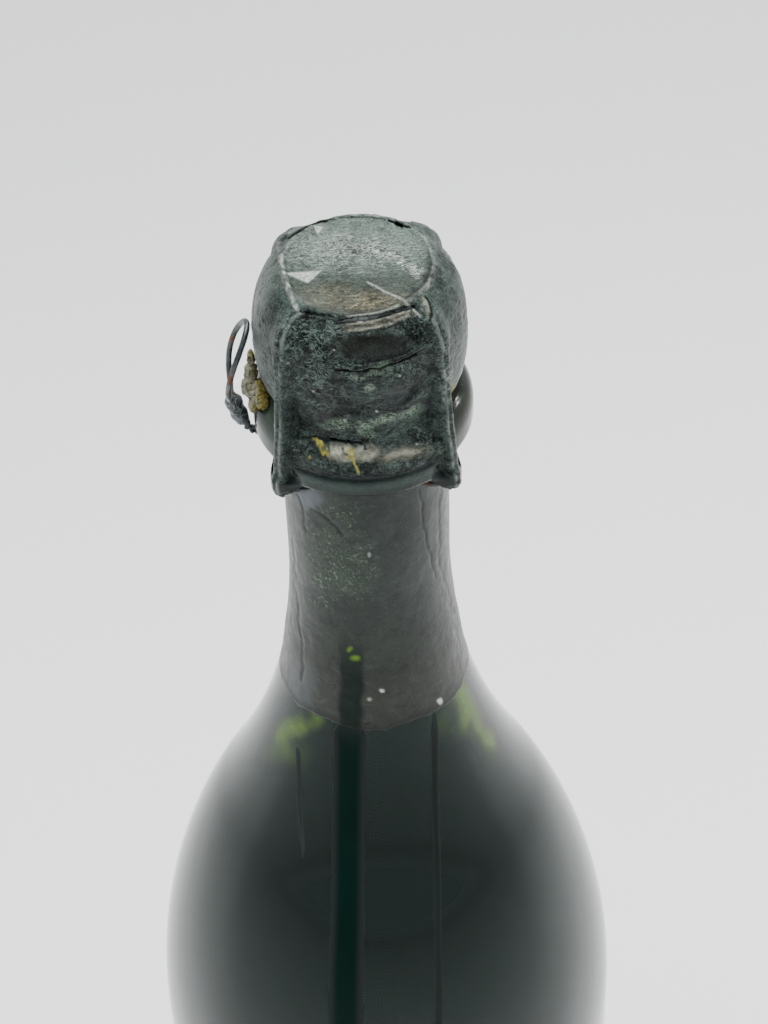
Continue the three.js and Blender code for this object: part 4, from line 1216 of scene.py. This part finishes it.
def hood_finish():
    finish = Finish("hood_foil_aged")
    cloud = finish.noise(160, 4, 0.6)
    clouded = finish.band(cloud, 0.3, 0.7)
    speck = finish.noise(3000, 3, 0.65, 0.3)
    crinkle = finish.cells(1500, "F1", finish.stretched(0.6, 1, 1))
    fibrous, grey, brown, worn = (finish.mask(label) for label in ("fibrous", "grey", "brown", "worn"))
    verdigris, yellow, tan = (finish.mask(label) for label in ("verdigris", "yellow", "tan"))
    bronze_and_highlight, painted_shade = finish.mask("bronze_and_highlight"), finish.mask("painted_shade")
    flat = finish.unrolled(0.0175)
    hairs = finish.most(*(finish.hairs(flat, angle, scale, HAIR_WIDTH) for angle, scale in HAIR_SETS))
    on_disc = finish.band(grey, 0.55, 0.8)
    fibres = finish.times(hairs, fibrous, finish.blend(on_disc, 1.0, 0.35))
    rough_share = finish.band(fibrous, 0.0, 0.3, 0.3, 1.0)
    dark = finish.mix(clouded, (0.0013, 0.0033, 0.003), (0.0048, 0.0106, 0.0096))
    dark = finish.mix(brown, dark, (0.0105, 0.0118, 0.0096))
    light = finish.mix(clouded, (0.0415, 0.066, 0.056), (0.055, 0.086, 0.0735))
    light = finish.mix(finish.times(brown, 0.9), light, (0.032, 0.0342, 0.0235))
    finish.colour = finish.mix(grey, dark, light)
    pits = finish.most(finish.band(speck, 0.5, 0.38, 0.0, 0.85), finish.band(worn, 0.5, 0.0, 0.0, 0.8))
    pits = finish.times(pits, rough_share)
    finish.paint(pits, finish.mix(grey, (0.0006, 0.001, 0.0009), (0.012, 0.0145, 0.011)))
    glint = finish.mix(grey, (0.165, 0.235, 0.2), (0.215, 0.3, 0.255))
    finish.paint(finish.times(finish.band(speck, 0.62, 0.76, 0.0, 0.28), rough_share), glint)
    finish.paint(finish.band(worn, 0.6, 1.0, 0.0, 0.12), glint)
    finish.paint(finish.times(fibres, 0.7), glint)
    streaks = finish.band(finish.noise(3400, 2, 0.5, 0.5, finish.stretched(0.3, 1, 1)), 0.55, 0.68)
    thin = finish.fibres(1500, 0.06, 1.6, finish.stretched(0.5, 1, 1))
    drawn_lines = finish.most(streaks, thin)
    finish.paint(finish.times(streaks, finish.times(on_disc, 0.2)), glint)
    # Scratches, with their glints painted in as highlight
    finish.paint(finish.times(finish.mask("scratches_and_glints"), drawn_lines, 0.9), (0.5, 0.54, 0.48))
    # Painted highlight: golden glints on the front of the disc
    finish.paint(finish.times(finish.mask("painted_gold_glints"), drawn_lines, 0.7), (0.24, 0.205, 0.11))
    lace = finish.most(finish.fibres(1500, 0.1, 1.2), finish.band(speck, 0.56, 0.66))
    green = finish.mix(finish.band(cloud, 0.35, 0.65), (0.14, 0.22, 0.14), (0.34, 0.44, 0.33))
    finish.paint(finish.times(verdigris, lace), green)
    lumps = finish.band(finish.noise(900, 4, 0.6), 0.35, 0.65)
    drawn = finish.band(finish.noise(1500, 3, 0.6, 0.4, finish.stretched(0.3, 1, 1)), 0.35, 0.65)
    specks = finish.band(speck, 0.35, 0.65)
    finish.paint(tan, finish.mix(lumps, (0.17, 0.168, 0.125), (0.48, 0.49, 0.39)))
    # Bronze tone, and the painted highlight on the lip's bulge
    finish.paint(bronze_and_highlight, finish.mix(drawn, (0.085, 0.079, 0.058), (0.3, 0.28, 0.205)))
    finish.paint(yellow, finish.mix(lumps, (0.2, 0.18, 0.025), (0.5, 0.47, 0.1)))
    # Pale flakes, specks and the scratch line, with painted highlights and painted light
    finish.paint(finish.mask("pale"), finish.mix(specks, (0.2, 0.225, 0.2), (0.48, 0.51, 0.47)))
    # Painted shade: black, with its reflection taken away by the metal and tint set below
    finish.paint(painted_shade, (0.0005, 0.0005, 0.0005))
    crusty = finish.most(verdigris, yellow, tan)
    rough = finish.plus(finish.band(fibrous, 0.0, 0.6, 0.2, 0.36), finish.band(cloud, 0.3, 0.7, -0.04, 0.06))
    rough = finish.blend(finish.most(crusty, painted_shade), rough, 0.85)
    metal = finish.blend(bronze_and_highlight, finish.blend(crusty, finish.blend(pits, 0.45, 0.9), 0.0), 0.85)
    height = finish.plus(finish.times(fibres, 0.5), speck, finish.times(crinkle, 0.5))
    finish.bump(finish.times(height, finish.band(fibrous, 0.0, 0.3, 0.15, 1.0)), 0.0002, 0.9)
    return finish.done(Roughness=rough, Metallic=finish.most(metal, painted_shade), Specular_IOR_Level=0.38,
                       Specular_Tint=finish.mix(painted_shade, (1, 1, 1), (0, 0, 0)))


dress(hood_foil(), hood_finish(), "hood", "hood_foil", "hood_foil")


# Cork

def cork_outline():
    foot = BOTTLE_HEIGHT + SEAT_GAP
    end = BOTTLE_HEIGHT - CORK_DEPTH + 2 * CORK_DISC_THICKNESS
    under = (CORK_HEAD_RADIUS - CORK_UNDERCUT, CORK_WIDEST)
    return np.vstack([
        [(radius, CORK_TOP) for radius in (0, 4, 8, 12)],
        ellipse_arc((CORK_TOP_RADIUS, CORK_WIDEST), CORK_BULGE, CORK_TOP - CORK_WIDEST, 90, 0, 20),
        ellipse_arc(under, CORK_UNDERCUT, CORK_WIDEST - foot, 0, -90, 20)[1:],
        [(CORK_SHANK_RADIUS + 0.4, foot)],
        [(CORK_SHANK_RADIUS, height) for height in np.linspace(foot, end, 14)],
        [(5, end), (0, end)],
    ])


def disc_outline(index):
    top = BOTTLE_HEIGHT - CORK_DEPTH + (2 - index) * CORK_DISC_THICKNESS - SEAT_GAP
    bottom = top + SEAT_GAP - CORK_DISC_THICKNESS
    chamfer = CORK_END_CHAMFER if index == 1 else CORK_EDGE
    side = np.linspace(top - CORK_EDGE, bottom + chamfer, 8)
    rows = [(0, top), (CORK_SHANK_RADIUS - CORK_EDGE, top)]
    rows += [(CORK_SHANK_RADIUS, height) for height in side]
    return rows + [(CORK_SHANK_RADIUS - chamfer, bottom), (4, bottom), (0, bottom)]


def pitted(grid):
    """Presses small pits into a cork surface, never outwards."""
    pits = smooth(noise(grid, 1.3, 61), 0.35, 0.8) * 0.25 + smooth(noise(grid, 0.6, 62), 0.4, 0.9) * 0.1
    scale = 1 - pits / np.maximum(radius_of(grid), 3)
    return np.stack([grid[..., 0] * scale, grid[..., 1] * scale, grid[..., 2]], axis=-1)


def cork_finish():
    finish = Finish("cork_dry")
    grains = finish.cells(520, "F1")
    seams = finish.cells(520, "DISTANCE_TO_EDGE")
    cloud = finish.noise(170, 4, 0.6, 0.4)
    finish.ground(cloud, (0.26, 0.17, 0.085), (0.42, 0.31, 0.17))
    finish.speckle(grains, 0.2, 0.7, 0.4, (0.5, 0.38, 0.22))
    finish.speckle(seams, 0.06, 0.0, 0.8, (0.11, 0.06, 0.028))
    finish.bump(finish.plus(finish.band(seams, 0.0, 0.12), cloud), 0.0002, 0.8)
    return finish.done(Roughness=0.88, Specular_IOR_Level=0.2)


cork_material = cork_finish()
mushroom = lathe("cork_mushroom", cork_outline(), CORK_SEGMENTS, pitted)
dress(mushroom, cork_material, "cork", "cork", "cork_body")
for number, level in enumerate(("upper", "lower")):
    slice_piece = lathe("cork_slice_" + level, disc_outline(number), DISC_SEGMENTS, pitted)
    dress(slice_piece, cork_material, "cork", "cork", "cork_disc_" + level)


# Plaque

def plaque_outline():
    rim_top = PLAQUE_SEAT + PLAQUE_THICKNESS
    rim_inner = PLAQUE_RADIUS - PLAQUE_RIM_WIDTH
    dome_edge = rim_inner - PLAQUE_SLOPE_WIDTH
    dome_top = rim_top + PLAQUE_DOME_HEIGHT
    top = [(0, dome_top), (5, dome_top), (dome_edge - 0.3, dome_top), (dome_edge, dome_top - 0.08),
           (rim_inner - 0.08, rim_top + 0.1), (rim_inner + 0.15, rim_top), (PLAQUE_RADIUS - 0.12, rim_top)]
    edge = [(PLAQUE_RADIUS, rim_top - 0.1), (PLAQUE_RADIUS, PLAQUE_SEAT + 0.1),
            (PLAQUE_RADIUS - 0.1, PLAQUE_SEAT)]
    below = [(radius - 0.1, height - PLAQUE_THICKNESS) for radius, height in top[-2:0:-1]]
    return top + edge + below + [(0, dome_top - PLAQUE_THICKNESS)]


def tinplate_finish():
    finish = Finish("tinplate_dull")
    brushed = finish.noise(900, 3, 0.6, 0.0, finish.stretched(0.15, 1, 1))
    stains = finish.noise(220, 4, 0.65)
    finish.ground(brushed, (0.2, 0.2, 0.175), (0.36, 0.36, 0.33))
    finish.speckle(stains, 0.5, 0.7, 0.85, (0.12, 0.065, 0.03))
    finish.bump(brushed, 0.00004, 0.5)
    return finish.done(Roughness=finish.band(stains, 0.4, 0.7, 0.34, 0.7), Metallic=0.85)


plaque = lathe("plaque_cap", plaque_outline(), DISC_SEGMENTS)
dress(plaque, tinplate_finish(), "cage", "tinplate", "plaque")


# Wire cage and pull loop

def beside_head(degrees, distance):
    angle = math.radians(degrees)
    rise = CORK_TOP - CORK_WIDEST
    return (CORK_TOP_RADIUS + (CORK_BULGE + distance) * math.cos(angle),
            CORK_WIDEST + (rise + distance) * math.sin(angle))


def leg_offset(degrees):
    share = max(0, (degrees - TWIST_ANGLE) / (HEAD_ANGLES[0] - TWIST_ANGLE))
    return lerp(TWIST_HALF, FRAME_WIRE_RADIUS, share) + WIRE_GAP


def leg_line():
    """The middle line of a leg as radius and height, from the crown ring down past the belt."""
    controls = [(CROWN_RADIUS, CROWN_HEIGHT), (PLAQUE_RADIUS + WIRE_GAP, CROWN_HEIGHT)]
    controls += [beside_head(degrees, leg_offset(degrees)) for degrees in HEAD_ANGLES]
    controls += [(lerp(CORK_HEAD_RADIUS + TWIST_HALF + WIRE_GAP, LEG_RADIUS, 0.6), BOTTLE_HEIGHT),
                 (LEG_RADIUS, BOTTLE_HEIGHT - LIP_ROUND_HEIGHT),
                 (lerp(LEG_RADIUS, EYE_RADIUS, 0.3), LIP_BOTTOM + LIP_UNDER_HEIGHT / 2),
                 (EYE_RADIUS, BELT_HEIGHT), (EYE_RADIUS, BELT_HEIGHT - EYE_TAIL)]
    return curve_through(controls, 240)


def leg_strand(azimuth, side):
    """One strand of a leg, from the crown down. Side is +1 for the strand on the higher azimuth."""
    line, length = leg_line()
    along = np.linspace(0, length, len(line))
    tangent = np.gradient(line, axis=0)
    tangent /= np.linalg.norm(tangent, axis=1, keepdims=True)
    twist_from = along[np.argmax(line[:, 0] >= beside_head(TWIST_ANGLE, 0)[0])]
    eye = length - EYE_TAIL
    above = np.clip((along - twist_from) / (eye - EYE_HALF_LENGTH - twist_from), 0, 1)
    below = np.maximum(0, (along - eye - EYE_HALF_LENGTH) / (EYE_TAIL - EYE_HALF_LENGTH))
    angle = np.pi / 2 + FULL_TURN * (above * LEG_TWISTS + below * EYE_TAIL_TWISTS)
    opening = (1 + np.cos(np.pi * np.minimum(1, np.abs(along - eye) / (2 * EYE_HALF_LENGTH)))) / 2
    offset = side * lerp(STRAND_OFFSET, EYE_OFFSET, opening)
    points = polar(azimuth, line[:, 0], line[:, 1])
    points = points + polar(azimuth, -tangent[:, 1], tangent[:, 0]) * (offset * np.cos(angle))[:, None]
    sideways = np.array([math.cos(azimuth), math.sin(azimuth), 0])
    return points + sideways * (offset * np.sin(angle))[:, None]


def leg_azimuth(index):
    return FULL_TURN / LEG_COUNT * (index - 0.5)


def frame_route(index):
    """One wire of the cage: up one leg, along the crown ring and down the next leg."""
    start, end = leg_azimuth(index), leg_azimuth(index + 1)
    corner = 2 * STRAND_OFFSET / CROWN_RADIUS
    ring = polar(np.linspace(start + corner, end - corner, 25), CROWN_RADIUS, CROWN_HEIGHT)
    route = np.vstack([leg_strand(start, 1)[3:][::-1], ring, leg_strand(end, -1)[3:]])
    return curve_through(route, 420)[0]


def belt_route():
    spread = BELT_TAIL_SPREAD / GRIP_RADIUS
    azimuths = np.linspace(-np.pi / 2 + spread, 1.5 * np.pi - spread, 73)
    wave = (1 + np.cos(LEG_COUNT * (azimuths - leg_azimuth(0)))) / 2
    ring = polar(azimuths, lerp(GRIP_RADIUS, EYE_RADIUS, wave ** 3), BELT_HEIGHT)
    ends = (BEND_GAP - HINGE_RADIUS, -(HINGE_RADIUS + GRIP_RADIUS) / 2 - BEND_GAP)
    tail = [np.array([x, -LOOP_STRAND_OFFSET, BELT_HEIGHT]) for x in ends]
    other = [point * np.array([1, -1, 1]) for point in reversed(tail)]
    return curve_through(np.vstack([tail, ring, other]), 380)[0]


def loop_out(rise):
    share = rise / (LOOP_STEM_LENGTH + LOOP_LENGTH)
    return lerp(HINGE_RADIUS, LOOP_TOP_RADIUS, share ** 2) + LOOP_BOW * math.sin(math.pi * share)


def loop_strand(side, start, steps=8):
    points = []
    for share in np.linspace(0, 1, steps + 1):
        angle = 2 * math.pi * LOOP_STEM_TWISTS * share
        rise = LOOP_STEM_LENGTH * share
        out = loop_out(rise) + side * LOOP_STRAND_OFFSET * math.sin(angle)
        points.append((-out, side * LOOP_STRAND_OFFSET * math.cos(angle), start + rise))
    return points


def loop_route():
    start = BELT_HEIGHT + BEND_GAP
    open_side = math.cos(2 * math.pi * LOOP_STEM_TWISTS)
    loop = []
    for angle in np.linspace(0, 2 * math.pi, 15)[1:-1]:
        rise = LOOP_STEM_LENGTH + LOOP_LENGTH * (1 - math.cos(angle)) / 2
        loop.append((-loop_out(rise), open_side * LOOP_HALF_WIDTH * math.sin(angle), start + rise))
    return curve_through(loop_strand(1, start) + loop + loop_strand(-1, start)[::-1], 340)[0]


def wire_finish(name, clean, worn, rust_from):
    """Galvanised wire, with rust where a noise passes the given value."""
    finish = Finish(name)
    cloud = finish.noise(330, 3, 0.6)
    rust = finish.band(finish.noise(260, 4, 0.65, 0.3), rust_from, rust_from + 0.12)
    speck = finish.noise(2200, 2, 0.6)
    finish.ground(cloud, clean, worn)
    finish.paint(finish.times(rust, 0.9), finish.mix(speck, (0.05, 0.016, 0.005), (0.2, 0.075, 0.025)))
    finish.bump(finish.plus(speck, rust), 0.00008, 0.7)
    return finish.done(Roughness=finish.blend(rust, 0.34, 0.85), Metallic=finish.blend(rust, 0.75, 0.05))


def add_wire(name, route, radius, seed, sides, material, body, node):
    """A wire that is a little uneven with age but never thicker than the given radius."""
    uneven = radius * (0.97 + 0.03 * rough_noise(route, 1.2, seed))
    dress(tube(name, route, uneven, sides), material, body, "cage_wire", node)


frame_material = wire_finish("cage_wire_tarnished", (0.085, 0.1, 0.105), (0.03, 0.034, 0.034), 0.56)
loop_material = wire_finish("loop_wire_tarnished", (0.12, 0.145, 0.155), (0.04, 0.046, 0.046), 0.54)
for number, side_name in enumerate(("front", "right", "back", "left")):
    add_wire("frame_wire_" + side_name, frame_route(number), FRAME_WIRE_RADIUS, 70 + number, 10,
             frame_material, "cage", "cage_wire_" + side_name)
add_wire("belt_wire", belt_route(), BELT_WIRE_RADIUS, 75, 12, frame_material, "cage", "cage_belt")
add_wire("loop_wire", loop_route(), BELT_WIRE_RADIUS, 76, 14, loop_material, "pull_loop", "pull_loop")


def stem_foil():
    """A scrap of foil still wrapped round the twisted stem of the pull loop."""
    low, high = STEM_FOIL_ENDS
    rises = np.linspace(low, high, 60)
    route = np.array([(-loop_out(rise), 0, BELT_HEIGHT + BEND_GAP + rise) for rise in rises])
    wrap = 1.32 + 0.16 * np.abs(rough_noise(route, 1.1, 78)) + 0.1 * np.sin(rises * 2.7)
    wrap = wrap * lerp(0.86, 1.0, smooth(rises, low, 1.8) * smooth(rises, high, 5.8))
    return tube("stem_foil", route, wrap, 28)


def scrap_finish():
    finish = Finish("foil_scrap")
    cloud = finish.noise(420, 4, 0.6, 0.5)
    creases = finish.fibres(600, 0.1, 1.0)
    finish.ground(cloud, (0.03, 0.036, 0.036), (0.12, 0.145, 0.16), 0.35, 0.65)
    finish.paint(finish.times(creases, 0.5), (0.25, 0.28, 0.28))
    finish.bump(finish.plus(cloud, creases), 0.0004, 0.9)
    return finish.done(Roughness=0.38, Metallic=0.4)


dress(stem_foil(), scrap_finish(), "pull_loop", "hood_foil")


# Film of old foil and dirt on the glass lip

def lip_layer(offset):
    upper = ellipse_arc(LIP_ROUND_MIDDLE, LIP_ROUND_WIDTH + offset, LIP_ROUND_HEIGHT + offset, 78, 0, 20)
    lower = ellipse_arc(LIP_UNDER_MIDDLE, LIP_UNDER_WIDTH + offset, LIP_UNDER_HEIGHT + offset, 0, -75, 12)
    return np.vstack([upper, lower])


def lip_film_finish():
    finish = Finish("lip_film")
    cloud = finish.noise(150, 4, 0.6, 0.4)
    stain = finish.noise(70, 2, 0.5)
    speck = finish.noise(1400, 2, 0.6)
    finish.ground(cloud, (0.01, 0.0125, 0.009), (0.024, 0.029, 0.021))
    # Painted reflection: the lip's left side lighter and bluish
    blue = finish.band(finish.axes()["X"], 0.004, -0.012)
    finish.paint(finish.times(blue, 0.8), (0.032, 0.043, 0.049))
    finish.speckle(stain, 0.5, 0.68, 0.6, (0.04, 0.06, 0.03))
    finish.speckle(speck, 0.66, 0.75, 0.4, (0.2, 0.21, 0.19))
    finish.bump(cloud, 0.0002, 0.2)
    return finish.done(Roughness=finish.band(cloud, 0.3, 0.7, 0.1, 0.2), Specular_IOR_Level=0.1,
                       Coat_Weight=0.06, Coat_Roughness=0.05)


film_outline = np.vstack([lip_layer(LIP_FILM_THICKNESS), lip_layer(LIP_FILM_GAP)[::-1]])
dress(lathe("lip_film", film_outline), lip_film_finish(), "bottle", "neck_foil")


# Yellow crust beside the pull loop

CRUST_ROWS = 60
CRUST_COLUMNS = 90
# Each lump: name, place as azimuth in degrees, radius and height, half sizes, and seed
CRUST_LUMPS = (
    ("crust_tip", (-91, 17.6, 304.2), (0.6, 1.3, 1.5), 80),
    ("crust_upper", (-88, 17.8, 302.3), (1.1, 1.8, 1.7), 81),
    ("crust_middle", (-84, 18.1, 300.3), (1.3, 2.0, 1.8), 83),
    ("crust_inner", (-79, 17.1, 300.6), (1.5, 2.0, 1.3), 87),
    ("crust_front", (-73, 17.0, 299.9), (1.2, 1.7, 1.1), 88),
    ("crust_edge", (-77, 17.7, 298.8), (1.0, 1.9, 1.5), 89),
)


def crust_lump(name, place, reach, seed):
    """A crumbly lump: a ball pushed about by noise."""
    middle = polar(math.radians(place[0]), place[1], place[2])
    tilt = np.linspace(0, np.pi, CRUST_ROWS + 2)[1:-1, None]
    turn = np.linspace(0, FULL_TURN, CRUST_COLUMNS, endpoint=False)[None, :]
    ball = polar(turn, np.sin(tilt), np.cos(tilt))
    spots = ball * reach + middle
    size = 1 + 0.14 * noise(spots, 1.5, seed) + 0.16 * rough_noise(spots, 0.55, seed)
    grid = middle + ball * size[..., None] * np.array(reach)
    faces = grid_faces(CRUST_ROWS, CRUST_COLUMNS)
    points = list(grid.reshape(-1, 3))
    for row, rise in ((0, 0.02), (CRUST_ROWS - 1, -0.02)):
        close_row(faces, row, CRUST_COLUMNS, len(points), row != 0)
        points.append(grid[row].mean(axis=0) + np.array([0, 0, rise]))
    return finish_mesh(name, points, faces)


def crust_finish():
    finish = Finish("crust_ochre")
    fine = finish.noise(1500, 4, 0.65, 0.3)
    cloud = finish.noise(330, 3, 0.6)
    inwards = finish.band(finish.axes()["X"], -0.0183, -0.016)
    patchy = finish.plus(inwards, finish.band(cloud, 0.3, 0.7, -0.5, 0.5))
    finish.ground(patchy, (0.29, 0.295, 0.215), (0.2, 0.18, 0.05), 0.2, 0.8)
    finish.speckle(finish.noise(620, 3, 0.6, 0.4), 0.52, 0.66, 0.8, (0.085, 0.065, 0.025))
    finish.speckle(fine, 0.46, 0.34, 0.85, (0.035, 0.025, 0.008))
    finish.speckle(fine, 0.58, 0.7, 0.6, (0.38, 0.37, 0.26))
    finish.bump(fine, 0.0006, 1.0)
    return finish.done(Roughness=0.95, Specular_IOR_Level=0.15)


crust_material = crust_finish()
for lump in CRUST_LUMPS:
    dress(crust_lump(*lump), crust_material, "bottle", "cork")
